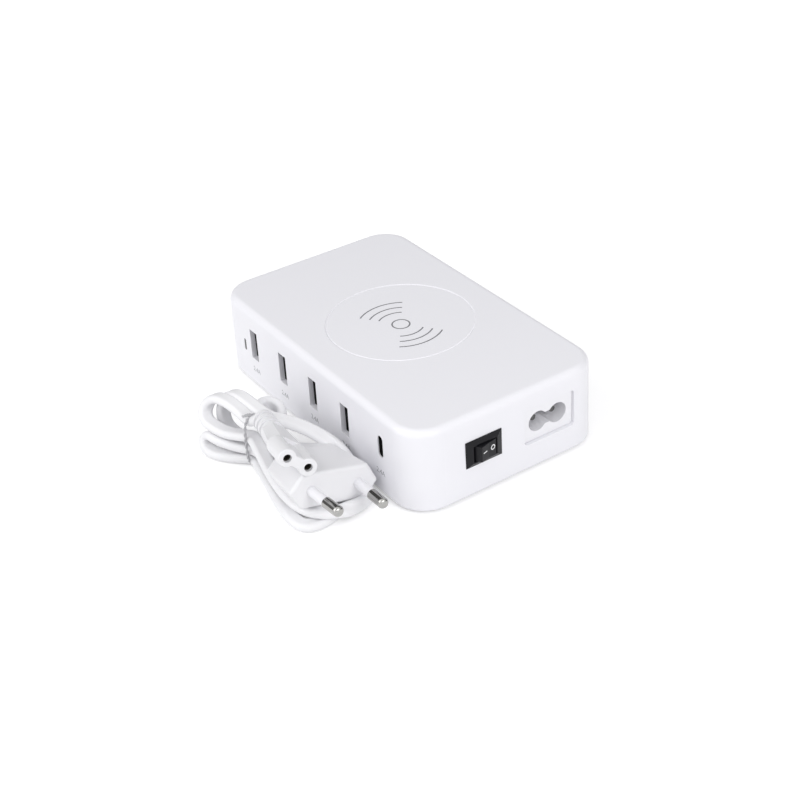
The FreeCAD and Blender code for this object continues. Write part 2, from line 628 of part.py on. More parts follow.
def make_boards():
    make_board("main_board", BOARD_LENGTH, BOARD_WIDTH, BOARD_X, BOARD_Y,
               f"{BASE_TOP} + standoff_height", BOARD_HOLES)
    make_board("wireless_board", "wireless_length", "wireless_width", "0", "0",
               f"{WIRELESS_TOP} - board_thickness", WIRELESS_HOLES)
    keep("usb_board", block("usb_board", "housing_length - 2 * usb_board_inset", "board_thickness",
                            "usb_board_height", "0", f"({USB_BOARD_FRONT} + board_thickness / 2)", BOARD_TOP))


# USB-A socket standing upright: sheet shell, tongue on a block, contact strips on the tongue.
def make_usb_a(number, x):
    shell = new_body(f"usb_a_shell_{number}")
    tube = sketch_on(shell, "XZ_Plane")
    rectangle(tube, "usb_a_inner_width + 2 * shell_sheet", "usb_a_inner_height + 2 * shell_sheet")
    pad(shell, tube, "shell_length", reverse=True)
    inside = sketch_on(shell, "XZ_Plane")
    rectangle(inside, "usb_a_inner_width", "usb_a_inner_height")
    pocket(shell, inside, "shell_length")
    place(shell, x, FRONT_INNER, "usb_a_height")

    tongue = new_body(f"usb_a_tongue_{number}")
    plug_in = sketch_on(tongue, "XZ_Plane", lift="usb_a_back - shell_length")
    rectangle(plug_in, "usb_a_inner_width - cut_margin", "usb_a_inner_height - cut_margin")
    pad(tongue, plug_in, "usb_a_back", reverse=True)
    blade = sketch_on(tongue, "XZ_Plane", lift="-usb_a_tip_sink", across="-usb_a_tongue_side")
    rectangle(blade, "usb_a_tongue", "usb_a_inner_height - 2 * usb_a_tongue_margin")
    pad(tongue, blade, "shell_length - usb_a_back - usb_a_tip_sink", reverse=True)
    place(tongue, x, FRONT_INNER, "usb_a_height")

    face = f"{x} + usb_a_tongue / 2 - usb_a_tongue_side + strip_sheet / 2"
    length = "(shell_length - usb_a_back - 2 * usb_a_tip_sink)"
    middle = f"({FRONT_INNER} + 2 * usb_a_tip_sink + {length} / 2)"
    strips = []
    for step in (-1.5, -0.5, 0.5, 1.5):
        strips.append(block(f"strip_{number}", "strip_sheet", length, "strip_width", face, middle,
                            f"usb_a_height + {step} * strip_pitch - strip_width / 2"))
    group(f"usb_a_contacts_{number}", strips)


def make_usb_c():
    nose = "(wall - usb_c_sink)"
    shell = new_body("usb_c_shell")
    tube = sketch_on(shell, "XZ_Plane", lift=nose)
    stadium(tube, "usb_c_inner_width + 2 * usb_c_sheet", "usb_c_inner_height + 2 * usb_c_sheet")
    pad(shell, tube, f"shell_length + {nose}", reverse=True)
    inside = sketch_on(shell, "XZ_Plane", lift=nose)
    stadium(inside, "usb_c_inner_width", "usb_c_inner_height")
    pocket(shell, inside, f"shell_length + {nose}")
    place(shell, USB_C_X, FRONT_INNER, "usb_c_height")

    tongue = new_body("usb_c_tongue")
    plug_in = sketch_on(tongue, "XZ_Plane", lift="usb_c_back - shell_length")
    stadium(plug_in, "usb_c_inner_width - cut_margin", "usb_c_inner_height - cut_margin")
    pad(tongue, plug_in, "usb_c_back", reverse=True)
    blade = sketch_on(tongue, "XZ_Plane", lift=f"{nose} - usb_c_tip_sink")
    rectangle(blade, "usb_c_tongue", "usb_c_inner_height - 2 * usb_c_tongue_margin")
    pad(tongue, blade, f"shell_length - usb_c_back + {nose} - usb_c_tip_sink", reverse=True)
    place(tongue, USB_C_X, FRONT_INNER, "usb_c_height")


# Light pipe through the slim slot, with its diode on the USB board.
def make_indicator():
    front_y = "(lamp_sink - housing_width / 2)"
    pipe = new_body("indicator_light_pipe")
    section = sketch_on(pipe, "XZ_Plane")
    stadium(section, "lamp_width - cut_margin", "lamp_length - cut_margin")
    pad(pipe, section, f"{USB_BOARD_FRONT} - diode_thickness - {front_y}", reverse=True)
    place(pipe, LAMP_X, front_y, "lamp_height")
    diode_y = f"({USB_BOARD_FRONT} - diode_thickness / 2)"
    keep("indicator_led", block("indicator_led", "diode_width", "diode_thickness", "diode_height", LAMP_X,
                                diode_y, "lamp_height - diode_height / 2"))


# Switch frame: bevelled front, hollow body behind it, holes for the rocker's trunnions.
def make_switch():
    frame = new_body("switch_frame")
    edge = sketch_on(frame, "YZ_Plane")
    rectangle(edge, "frame_width", "frame_height")
    pad(frame, edge, "frame_edge")
    low = sketch_on(frame, "YZ_Plane", lift="frame_edge")
    rectangle(low, "frame_width", "frame_height")
    high = sketch_on(frame, "YZ_Plane", lift="frame_rise")
    rectangle(high, "rocker_opening_width + 2 * frame_rim", "rocker_opening_height + 2 * frame_rim")
    loft(frame, low, [high])
    behind = sketch_on(frame, "YZ_Plane")
    rectangle(behind, "rocker_opening_width + 2 * switch_end", "rocker_opening_height + 2 * switch_side")
    pad(frame, behind, "switch_depth", reverse=True)
    hollow = sketch_on(frame, "YZ_Plane", lift="frame_rise")
    rectangle(hollow, "rocker_opening_width", "rocker_opening_height")
    pocket(frame, hollow, "frame_rise + switch_depth - switch_end")
    drilled = sketch_on(frame, "XY_Plane", lift="frame_height")
    circles(drilled, [("-pivot_depth", "0")], "pivot_radius + pivot_gap")
    pocket(frame, drilled, "2 * frame_height")
    place(frame, SEAT_X, SWITCH_Y, "switch_z")

    # The rocker is drawn in its middle position about its pivot, then tilted with its +Y end pressed in.
    rocker = new_body("switch_rocker")
    outline = [("rocker_reach - rocker_dish", "0"), ("rocker_reach", "rocker_half"),
               ("rocker_shoulder_rise", "rocker_shoulder"), ("-rocker_drop", "rocker_foot"),
               ("-rocker_drop", "-rocker_foot"), ("rocker_shoulder_rise", "-rocker_shoulder"),
               ("rocker_reach", "-rocker_half")]
    start = [Vector(3, 0, 0), Vector(4, 3, 0), Vector(1, 4, 0), Vector(-3, 3, 0), Vector(-3, -3, 0),
             Vector(1, -4, 0), Vector(4, -3, 0)]
    height = "(rocker_opening_height - 2 * rocker_gap)"
    profile = sketch_on(rocker, "XY_Plane", lift=f"-{height} / 2")
    polygon(profile, start)
    for index, (x, y) in enumerate(outline):
        constrain(profile, "DistanceX", -1, 1, index, 1, value=x)
        constrain(profile, "DistanceY", -1, 1, index, 1, value=y)
    pad(rocker, profile, height)
    trunnions = f"({height} + 2 * rocker_gap + switch_side)"
    pins = sketch_on(rocker, "XY_Plane", lift=f"-{trunnions} / 2")
    circles(pins, [("0", "0")], "pivot_radius")
    pad(rocker, pins, trunnions)
    rocker.Placement = Placement(Vector(), Rotation(Vector(0, 0, 1), 1))
    bind(rocker, "Placement.Rotation.Angle", "rocker_tilt")
    place(rocker, f"{SEAT_X} - pivot_depth", SWITCH_Y, "switch_z")

    for name, side in (("line", -1), ("load", 1)):
        keep(f"switch_terminal_{name}",
             block(f"switch_terminal_{name}", "tab_length", "tab_sheet", "tab_height",
                   f"{SEAT_X} - switch_depth - tab_length / 2", f"{SWITCH_Y} + {side} * tab_side",
                   "switch_z - tab_height / 2"))


# Inlet: block with a flange behind the wall and a figure-8 well, and two pins through its floor.
def make_inlet():
    body = new_body("inlet_body")
    front = sketch_on(body, "YZ_Plane")
    rounded_rectangle(front, "inlet_width", "inlet_height", "inlet_corner")
    pad(body, front, "inlet_depth", reverse=True)
    flange = sketch_on(body, "YZ_Plane", lift="inlet_recess - wall")
    rounded_rectangle(flange, "inlet_width + 2 * inlet_lip", "inlet_height + 2 * inlet_lip", "inlet_corner")
    pad(body, flange, "inlet_flange", reverse=True)
    for y in POLES:
        lobe = sketch_on(body, "YZ_Plane")
        circles(lobe, [(y, "0")], "inlet_lobe")
        pocket(body, lobe, "inlet_well")
    waist = sketch_on(body, "YZ_Plane")
    rectangle(waist, "pole_spacing", "2 * inlet_waist")
    pocket(body, waist, "inlet_well")
    drilled = sketch_on(body, "YZ_Plane")
    circles(drilled, [(y, "0") for y in POLES], "inlet_pin_radius")
    pocket(body, drilled, "inlet_depth")
    place(body, INLET_FACE_X, INLET_Y, "inlet_z")
    for number, y in enumerate(POLES, start=1):
        keep(f"inlet_pin_{number}",
             rod(f"inlet_pin_{number}", "inlet_pin_radius", "inlet_depth + inlet_tail - inlet_pin_sink",
                 f"{INLET_FACE_X} - inlet_depth - inlet_tail", f"{INLET_Y} + {y}", "inlet_z", "X"))


# Wireless coil and its ferrite disc, under the top wall.
def make_wireless():
    outer = rod("coil_outer", "coil_radius", "coil_thickness", "0", "0", FERRITE_TOP)
    inner = rod("coil_inner", "coil_hole", "coil_thickness", "0", "0", FERRITE_TOP)
    keep("charging_coil", cut("charging_coil", outer, inner))
    keep("coil_ferrite", rod("coil_ferrite", "ferrite_radius", "ferrite_thickness", "0", "0", WIRELESS_TOP))
    length = f"({WIRELESS_TOP} - board_thickness - {BOARD_TOP})"
    feed_x = "feed_inset - wireless_length / 2"
    group("wireless_wires", [rod("wireless_wire", "feed_radius", length, f"{feed_x} + {n} * feed_pitch", "0",
                                 BOARD_TOP) for n in range(2)])


# Power parts that stand on the main board, placed from its edges.
def make_power_parts():
    keep("x_capacitor", block("x_capacitor", "film_length", "film_width", "film_height",
                              f"{BOARD_RIGHT} - film_right", f"{BOARD_BACK} - film_back", BOARD_TOP))
    keep("bridge_rectifier", block("bridge_rectifier", "bridge_length", "bridge_width", "bridge_height",
                                   f"{BOARD_RIGHT} - film_right", f"{BOARD_FRONT} + bridge_front", BOARD_TOP))
    keep("heat_sink", block("heat_sink", "sink_length", "sink_sheet", "sink_height",
                            f"{BOARD_LEFT} + sink_left", f"{BOARD_FRONT} + sink_front", BOARD_TOP))

    core_x, core_y = f"{BOARD_LEFT} + core_left", f"{BOARD_BACK} - core_back"
    window_length, window_height = "(core_length - 2 * core_leg)", "(core_height - 2 * core_leg)"
    core = block("core_block", "core_length", "core_width", "core_height", core_x, core_y, BOARD_TOP)
    window = block("core_window", window_length, "core_width", window_height, core_x, core_y,
                   f"{BOARD_TOP} + core_leg")
    keep("transformer_core", cut("transformer_core", core, window))
    keep("transformer_winding",
         block("transformer_winding", f"{window_length} - 2 * winding_room", "winding_width",
               f"{window_height} - 2 * winding_room", core_x, core_y,
               f"{BOARD_TOP} + core_leg + winding_room"))

    keep("bulk_capacitor", rod("bulk_capacitor", "can_radius", "can_length", f"{BOARD_LEFT} + can_left",
                               f"{BOARD_BACK} - can_back - can_length", f"{BOARD_TOP} + can_radius", "Y"))
    keep("fuse", rod("fuse", "fuse_radius", "fuse_length", f"{BOARD_RIGHT} - fuse_right",
                     f"{BOARD_BACK} - fuse_back - fuse_length", f"{BOARD_TOP} + fuse_radius", "Y"))
    choke = doc.addObject("Part::Torus", "line_choke")
    bind(choke, "Radius1", "choke_ring")
    bind(choke, "Radius2", "choke_wire")
    place(choke, f"{BOARD_RIGHT} - choke_right", f"{BOARD_BACK} - choke_back", f"{BOARD_TOP} + choke_wire")
    keep("line_choke", choke)
    small_x = f"{BOARD_LEFT} + small_can_left"
    small_places = [(small_x, f"{BOARD_FRONT} + small_can_front")]
    small_places += [(f"{small_x} + {n} * (3 * small_can_radius) + small_can_radius",
                      f"{BOARD_BACK} - small_can_back") for n in (1, 2)]
    group("output_capacitors", [rod("output_capacitor", "small_can_radius", "small_can_height", x, y,
                                    BOARD_TOP) for x, y in small_places])


# Round wire along straight runs with tangent bends.
def wire_shape(points, radius, bend):
    edges = []
    start = points[0]
    for index in range(1, len(points) - 1):
        corner = points[index]
        back = (points[index - 1] - corner).normalize()
        ahead = (points[index + 1] - corner).normalize()
        half_turn = (math.pi - back.getAngle(ahead)) / 2
        run = bend * math.tan(half_turn)
        inner = corner + (back + ahead).normalize() * (bend / math.cos(half_turn) - bend)
        edges.append(Part.LineSegment(start, corner + back * run).toShape())
        edges.append(Part.Arc(corner + back * run, inner, corner + ahead * run).toShape())
        start = corner + ahead * run
    edges.append(Part.LineSegment(start, points[-1]).toShape())
    path = Part.Wire(edges)
    section = Part.Wire(Part.Circle(points[0], points[1] - points[0], radius).toShape())
    return path.makePipeShell([section], True, True)


# Mains wires from the inlet over the switch to the main board, in the housing's own frame.
def make_mains_wires():
    bend = size("wire_bend")
    sit_back = parts["housing"].Placement.Base.x
    pins = [parts[f"inlet_pin_{number}"].Shape.BoundBox for number in (1, 2)]
    terminals = [parts[f"switch_terminal_{name}"].Shape.BoundBox for name in ("line", "load")]
    pin_end, tab_end = pins[0].XMin - sit_back, terminals[0].XMin - sit_back
    first_y, second_y = [box.Center.y for box in pins]
    line_y, load_y = [box.Center.y for box in terminals]
    inlet_z, switch_z = size("inlet_z"), size("switch_z")
    board = parts["main_board"].Shape.BoundBox
    turn_x = board.XMax - sit_back - 2 * bend
    routes = {
        "wire_inlet_to_switch": [(pin_end, first_y, inlet_z), (turn_x, first_y, inlet_z),
                                 (turn_x, load_y, switch_z), (tab_end, load_y, switch_z)],
        "wire_switch_to_board": [(tab_end, line_y, switch_z), (turn_x, line_y, switch_z),
                                 (turn_x, line_y, board.ZMax)],
        "wire_inlet_to_board": [(pin_end, second_y, inlet_z), (turn_x, second_y, inlet_z),
                                (turn_x, second_y, board.ZMax)],
    }
    for label, route in routes.items():
        part = keep(label, doc.addObject("Part::Feature", label))
        part.Shape = wire_shape([Vector(*point) for point in route], size("wire_radius"), bend)
        place(part)


# Ribbed strain relief along a body's -X way.
def strain_relief(body, start, end):
    core = sketch_on(body, "YZ_Plane", lift=f"-({start})")
    circles(core, [("0", "0")], "neck_radius")
    pad(body, core, f"{end} - ({start})", reverse=True)
    pitch = f"({end} - ({start}) - rib_width) / {STRAIN_RIBS - 1}"
    for index in range(STRAIN_RIBS):
        rib = sketch_on(body, "YZ_Plane", lift=f"-({start}) - {index} * {pitch}")
        circles(rib, [("0", "0")], "rib_radius")
        pad(body, rib, "rib_width", reverse=True)


# Flat six-sided outline about the sketch's origin.
def hexagon(sketch, width, flat, thickness):
    start = [Vector(-3, 0, 0), Vector(-2, -1, 0), Vector(2, -1, 0), Vector(3, 0, 0), Vector(2, 1, 0),
             Vector(-2, 1, 0)]
    polygon(sketch, start)
    places = [(f"-({width}) / 2", "0"), (f"-({flat}) / 2", f"-({thickness}) / 2"),
              (f"({flat}) / 2", f"-({thickness}) / 2"), (f"({width}) / 2", "0"),
              (f"({flat}) / 2", f"({thickness}) / 2"), (f"-({flat}) / 2", f"({thickness}) / 2")]
    for index, (x, y) in enumerate(places):
        constrain(sketch, "DistanceX", -1, 1, index, 1, value=x)
        constrain(sketch, "DistanceY", -1, 1, index, 1, value=y)


# Where a piece of the lead lies: its front and its turns.
def lie(name):
    base = Vector(size(f"{name}_x"), -size("housing_width") / 2 - size(f"{name}_out"), size(f"{name}_z"))
    return Placement(base, Rotation(size(f"{name}_yaw"), size(f"{name}_pitch"), size(f"{name}_roll")))


# Flat two-pin plug, drawn with its front at x 0 and its pins along +X, which lean towards each other.
def make_plug():
    lying = lie("plug")
    body = doc.addObject("PartDesign::Body", "plug_moulding")
    front = sketch_on(body, "YZ_Plane")
    hexagon(front, "plug_width", "plug_flat", "plug_thickness")
    middle = sketch_on(body, "YZ_Plane", lift="-plug_front")
    hexagon(middle, "plug_middle_width", "plug_middle_flat", "plug_middle_thickness")
    neck = sketch_on(body, "YZ_Plane", lift="-plug_back")
    hexagon(neck, "plug_neck_width", "plug_neck_flat", "plug_neck_thickness")
    shape = loft(body, front, [middle, neck])
    back = -size("plug_back")
    round_edges(body, shape, "plug_edge", lambda box: box.XMax > back + FLAT)
    strain_relief(body, "plug_back", "plug_length")
    body.Placement = lying

    sleeves = []
    pins = []
    for side in (-1, 1):
        turn = Rotation(Vector(0, 0, 1), -side * size("plug_pin_lean"))
        spot = lying.multiply(Placement(Vector(0, side * size("plug_pin_spacing") / 2, 0), turn))
        sleeve = doc.addObject("PartDesign::Body", "plug_sleeve_body")
        outside = sketch_on(sleeve, "YZ_Plane", lift="cut_margin")
        circles(outside, [("0", "0")], "plug_pin_radius - sleeve_step")
        pad(sleeve, outside, "plug_sleeve - cut_margin")
        bore = sketch_on(sleeve, "YZ_Plane")
        circles(bore, [("0", "0")], "pin_core_radius")
        pocket(sleeve, bore, "plug_sleeve", reverse=True)
        pin = doc.addObject("PartDesign::Body", "plug_pin_body")
        core = sketch_on(pin, "YZ_Plane", lift="-pin_anchor")
        circles(core, [("0", "0")], "pin_core_radius")
        pad(pin, core, "pin_anchor + plug_sleeve")
        tip = sketch_on(pin, "YZ_Plane", lift="plug_sleeve")
        circles(tip, [("0", "0")], "plug_pin_radius")
        solid = pad(pin, tip, "plug_pin_length - plug_sleeve")
        end = size("plug_pin_length")
        round_edges(pin, solid, "pin_tip_round", lambda box: box.XMin > end - FLAT)
        sleeve.Placement = spot
        pin.Placement = spot
        sleeves.append(sleeve)
        pins.append(pin)
    group("plug_sleeves", sleeves)
    group("plug_pins", pins)
    keep("lead_plug", cut("lead_plug", body, parts["plug_pins"]))


# Figure-8 connector, drawn with its face at x 0 and the lead behind it.
def make_connector():
    lying = lie("connector")
    body = new_body("lead_connector")
    for y in POLES:
        lobe = sketch_on(body, "YZ_Plane")
        circles(lobe, [(y, "0")], "connector_lobe")
        pad(body, lobe, "connector_nose", reverse=True)
        if y == POLES[0]:
            waist = sketch_on(body, "YZ_Plane")
            rectangle(waist, "pole_spacing", "2 * connector_waist")
            pad(body, waist, "connector_nose", reverse=True)
    round_edges(body, body.Tip, "connector_edge", lambda box: box.XMin > -FLAT)
    wide = sketch_on(body, "YZ_Plane", lift="-connector_nose")
    hexagon(wide, "pole_spacing + 2 * connector_lobe", "pole_spacing", "2 * connector_lobe")
    neck = sketch_on(body, "YZ_Plane", lift="-connector_back")
    hexagon(neck, "connector_neck_width", "connector_neck_flat", "connector_neck_thickness")
    loft(body, wide, [neck])
    strain_relief(body, "connector_back", "connector_length")
    holes = sketch_on(body, "YZ_Plane")
    circles(holes, [(y, "0") for y in POLES], "connector_hole")
    pocket(body, holes, "connector_hole_depth")
    body.Placement = lying

    contacts = []
    for y in POLES:
        contact = doc.addObject("PartDesign::Body", "contact_sleeve")
        outside = sketch_on(contact, "YZ_Plane", lift="-connector_hole_depth")
        circles(outside, [(y, "0")], "connector_hole")
        pad(contact, outside, "connector_hole_depth - contact_sink")
        inside = sketch_on(contact, "YZ_Plane", lift="-contact_sink")
        circles(inside, [(y, "0")], "contact_radius")
        pocket(contact, inside, "connector_hole_depth - contact_sink")
        contact.Placement = lying
        contacts.append(contact)
    group("connector_contacts", contacts)


# Outer shape of the hank, as oval sections along X: x, middle from the housing's side, half width, bottom
# and top, in mm.
HANK = [
    (-24.5, 29.2, 3.5, 4.0, 15.0),
    (-20.5, 28.2, 8.0, 0.4, 21.0),
    (-10.5, 24.7, 12.0, 0.4, 22.0),
    (-3.5, 22.2, 6.2, 1.3, 20.6),
    (0.9, 22.2, 6.2, 1.3, 20.6),
    (10.7, 19.2, 11.0, 0.4, 19.0),
    (24.7, 18.2, 16.0, 0.4, 13.0),
    (40.0, 19.2, 16.5, 0.4, 8.0),
    (46.5, 22.2, 12.0, 0.4, 7.5),
    (51.0, 23.2, 6.0, 1.0, 6.0),
]


def oval(x, out, half_width, bottom, top):
    half_height = (top - bottom) / 2
    y = -size("housing_width") / 2 - out
    long_way, short_way = max(half_width, half_height), min(half_width, half_height)
    curve = Part.Ellipse(Vector(), long_way, short_way)
    frame = Rotation(Vector(0, 1, 0), Vector(0, 0, 1), Vector(1, 0, 0), "ZXY")
    if half_height > half_width:
        frame = frame.multiply(Rotation(Vector(0, 0, 1), 90))
    outline = Part.Wire(curve.toShape())
    outline.Placement = Placement(Vector(x, y, bottom + half_height), frame)
    return outline


# Hank of the flat lead, hollowed where the plug, the connector and the tie press into it.
def make_hank():
    doc.recompute()
    shape = Part.makeLoft([oval(*section) for section in HANK], True, True)
    waist = HANK[3]
    tie = size("tie_thickness")
    tie_x = (HANK[3][0] + HANK[4][0] - size("tie_width")) / 2
    ring = Part.Face(oval(tie_x, waist[1], waist[2] + tie, waist[3] - tie, waist[4] + tie))
    band = ring.extrude(Vector(size("tie_width"), 0, 0)).cut(shape)
    for label in ("lead_plug", "lead_connector"):
        shape = shape.cut(parts[label].Shape)
    hank = keep("lead_hank", doc.addObject("Part::Feature", "lead_hank"))
    hank.Shape = shape
    band_part = keep("lead_tie", doc.addObject("Part::Feature", "lead_tie"))
    band_part.Shape = band


make_housing()
make_base_plate()
make_feet()
make_screws()
make_boards()
for port, port_x in enumerate(USB_A_PLACES, start=1):
    make_usb_a(port, port_x)
make_usb_c()
make_indicator()
make_switch()
make_inlet()
make_wireless()
make_power_parts()
doc.recompute()
make_mains_wires()
make_plug()
make_connector()
make_hank()
doc.recompute()

failed = [item.Name for item in doc.Objects if {"Invalid", "Error"} & set(item.State)]
for label, part in parts.items():
    if part.Shape.isNull() or not part.Shape.isValid() or not part.Shape.Solids:
        failed.append(label)
if failed:
    raise RuntimeError(f"these did not build: {failed}")

os.makedirs("parts", exist_ok=True)
for label, part in parts.items():
    part.Shape.exportStep(f"parts/{label}.step")
    print(label, len(part.Shape.Solids), round(part.Shape.Volume, 1))
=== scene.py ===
import json
import math

import bmesh
import bpy
from mathutils import Matrix, Vector


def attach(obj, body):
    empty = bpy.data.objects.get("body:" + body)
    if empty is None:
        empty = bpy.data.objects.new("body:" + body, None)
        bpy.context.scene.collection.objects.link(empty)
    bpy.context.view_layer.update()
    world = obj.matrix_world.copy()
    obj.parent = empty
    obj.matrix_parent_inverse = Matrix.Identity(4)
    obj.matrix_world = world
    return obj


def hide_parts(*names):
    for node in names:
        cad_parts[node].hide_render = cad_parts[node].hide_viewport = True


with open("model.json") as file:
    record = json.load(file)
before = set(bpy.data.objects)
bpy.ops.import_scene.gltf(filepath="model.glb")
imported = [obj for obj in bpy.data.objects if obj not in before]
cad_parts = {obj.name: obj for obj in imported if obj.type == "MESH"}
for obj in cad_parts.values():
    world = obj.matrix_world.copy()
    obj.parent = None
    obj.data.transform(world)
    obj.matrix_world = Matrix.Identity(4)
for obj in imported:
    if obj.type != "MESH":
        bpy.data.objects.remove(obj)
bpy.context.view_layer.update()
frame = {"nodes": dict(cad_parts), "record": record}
nodes = frame["nodes"]
mm = 0.001

# Camera

cameraView = {
    "place": (397.60, -252.09, 309.75),  # mm
    "azimuth": 57.965,
    "elevation": 33.396,
    "roll": -3.785,
    "lens": 66.095,
    "sensor": 36.0,
    "clip": (0.01, 20),  # m
}


def makeCamera(view):
    data = bpy.data.cameras.new("photoCamera")
    data.lens = view["lens"]
    data.sensor_width = view["sensor"]
    data.clip_start, data.clip_end = view["clip"]
    camera = bpy.data.objects.new("photoCamera", data)
    bpy.context.scene.collection.objects.link(camera)
    swing = Matrix.Rotation(math.radians(view["azimuth"]), 4, "Z")
    tip = Matrix.Rotation(math.radians(90 - view["elevation"]), 4, "X")
    lean = Matrix.Rotation(math.radians(view["roll"]), 4, "Z")
    camera.matrix_world = Matrix.Translation(Vector(view["place"]) * mm) @ swing @ tip @ lean
    bpy.context.scene.camera = camera


makeCamera(cameraView)
print("camera placed")

# Floor and studio light

studio = {
    "floorColour": (0.86, 0.86, 0.865),
    "floorRough": 0.9,
    "floorReach": 6.0,  # m from the middle to each side
    "glowNear": 0.27,  # white that the camera sees on top of the lit floor, beside the object
    "glowFar": 0.50,  # and far behind it, where the lamps no longer reach
    "nearReach": 0.12,  # m
    "farReach": 0.50,
    "brightSide": (0.62, -0.5, 0.6),  # way to the side of the tent that glows most
    "worldStrength": (0.41, 0.83),  # on the dim side and on the bright one
    "gapFrom": (-0.12, 0.45),  # edge of the gap in the tent that bright metal shows
    "gapStrength": (0.12, 1.2),
    "lamps": [  # name, place in mm, aim in mm, size in mm, watts
        ("frontLamp", (520, -380, 460), (20, -30, 15), 150, 0.15),
        ("leftLamp", (-260, -800, 560), (0, -30, 15), 900, 3.8),
        ("endLamp", (760, 0, 520), (60, 10, 15), 350, 2.2),
    ],
}


# Light tent that glows more on one side. The camera sees it plain white, and bright metal sees a gap in it.
def makeWorld(values):
    world = bpy.data.worlds.new("studioWorld")
    bpy.context.scene.world = world
    world.use_nodes = True
    tree = world.node_tree
    back = tree.nodes["Background"]
    back.inputs["Color"].default_value = (1, 1, 1, 1)
    where = tree.nodes.new("ShaderNodeTexCoord")
    facing = tree.nodes.new("ShaderNodeVectorMath")
    facing.operation = "DOT_PRODUCT"
    facing.inputs[1].default_value = Vector(values["brightSide"]).normalized()
    tent = tree.nodes.new("ShaderNodeMapRange")
    tent.inputs["From Min"].default_value = -1.0
    tent.inputs["To Min"].default_value, tent.inputs["To Max"].default_value = values["worldStrength"]
    gap = tree.nodes.new("ShaderNodeMapRange")
    gap.inputs["From Min"].default_value, gap.inputs["From Max"].default_value = values["gapFrom"]
    gap.inputs["To Min"].default_value, gap.inputs["To Max"].default_value = values["gapStrength"]
    path = tree.nodes.new("ShaderNodeLightPath")
    mirrored = tree.nodes.new("ShaderNodeMix")
    strength = tree.nodes.new("ShaderNodeMix")
    strength.inputs["B"].default_value = 1.0
    tree.links.new(where.outputs["Generated"], facing.inputs[0])
    tree.links.new(facing.outputs["Value"], tent.inputs["Value"])
    tree.links.new(facing.outputs["Value"], gap.inputs["Value"])
    tree.links.new(path.outputs["Is Glossy Ray"], mirrored.inputs["Factor"])
    tree.links.new(tent.outputs["Result"], mirrored.inputs["A"])
    tree.links.new(gap.outputs["Result"], mirrored.inputs["B"])
    tree.links.new(path.outputs["Is Camera Ray"], strength.inputs["Factor"])
    tree.links.new(mirrored.outputs["Result"], strength.inputs["A"])
    tree.links.new(strength.outputs["Result"], back.inputs["Strength"])


def makeFloor(values):
    bm = bmesh.new()
    bmesh.ops.create_grid(bm, x_segments=1, y_segments=1, size=values["floorReach"])
    mesh = bpy.data.meshes.new("floor")
    bm.to_mesh(mesh)
    bm.free()
    floor = bpy.data.objects.new("floor", mesh)
    bpy.context.scene.collection.objects.link(floor)
    material = bpy.data.materials.new("paleFloor")
    material.use_nodes = True
    tree = material.node_tree
    shader = tree.nodes["Principled BSDF"]
    shader.inputs["Base Color"].default_value = (*values["floorColour"], 1)
    shader.inputs["Roughness"].default_value = values["floorRough"]
    shader.inputs["Specular IOR Level"].default_value = 0.0
    shader.inputs["Emission Color"].default_value = (1, 1, 1, 1)
    where = tree.nodes.new("ShaderNodeTexCoord")
    reach = tree.nodes.new("ShaderNodeVectorMath")
    reach.operation = "LENGTH"
    fade = tree.nodes.new("ShaderNodeMapRange")
    fade.inputs["From Min"].default_value = values["nearReach"]
    fade.inputs["From Max"].default_value = values["farReach"]
    fade.inputs["To Min"].default_value = values["glowNear"]
    fade.inputs["To Max"].default_value = values["glowFar"]
    path = tree.nodes.new("ShaderNodeLightPath")
    seen = tree.nodes.new("ShaderNodeMath")
    seen.operation = "MAXIMUM"
    glow = tree.nodes.new("ShaderNodeMath")
    glow.operation = "MULTIPLY"
    tree.links.new(where.outputs["Object"], reach.inputs[0])
    tree.links.new(reach.outputs["Value"], fade.inputs["Value"])
    tree.links.new(path.outputs["Is Camera Ray"], seen.inputs[0])
    tree.links.new(path.outputs["Is Glossy Ray"], seen.inputs[1])
    tree.links.new(seen.outputs[0], glow.inputs[0])
    tree.links.new(fade.outputs["Result"], glow.inputs[1])
    tree.links.new(glow.outputs[0], shader.inputs["Emission Strength"])
    mesh.materials.append(material)


def makeLamps(values):
    for name, place, aim, size, watts in values["lamps"]:
        lamp = bpy.data.lights.new(name, "AREA")
        lamp.shape = "SQUARE"
        lamp.size = size * mm
        lamp.energy = watts
        holder = bpy.data.objects.new(name, lamp)
        bpy.context.scene.collection.objects.link(holder)
        spot = Vector(place) * mm
        turn = (Vector(aim) * mm - spot).to_track_quat("-Z", "Y")
        holder.matrix_world = Matrix.Translation(spot) @ turn.to_matrix().to_4x4()


makeWorld(studio)
makeFloor(studio)
makeLamps(studio)
bpy.context.scene.view_settings.view_transform = "Standard"
print("floor and lamps made")

# Shared surface effects


def newGroup(name, inputs, outputs):
    group = bpy.data.node_groups.new(name, "ShaderNodeTree")
    for label, kind, value in inputs:
        socket = group.interface.new_socket(label, in_out="INPUT", socket_type=kind)
        socket.default_value = value
    for label, kind in outputs:
        group.interface.new_socket(label, in_out="OUTPUT", socket_type=kind)
    return group, group.nodes.new("NodeGroupInput"), group.nodes.new("NodeGroupOutput")


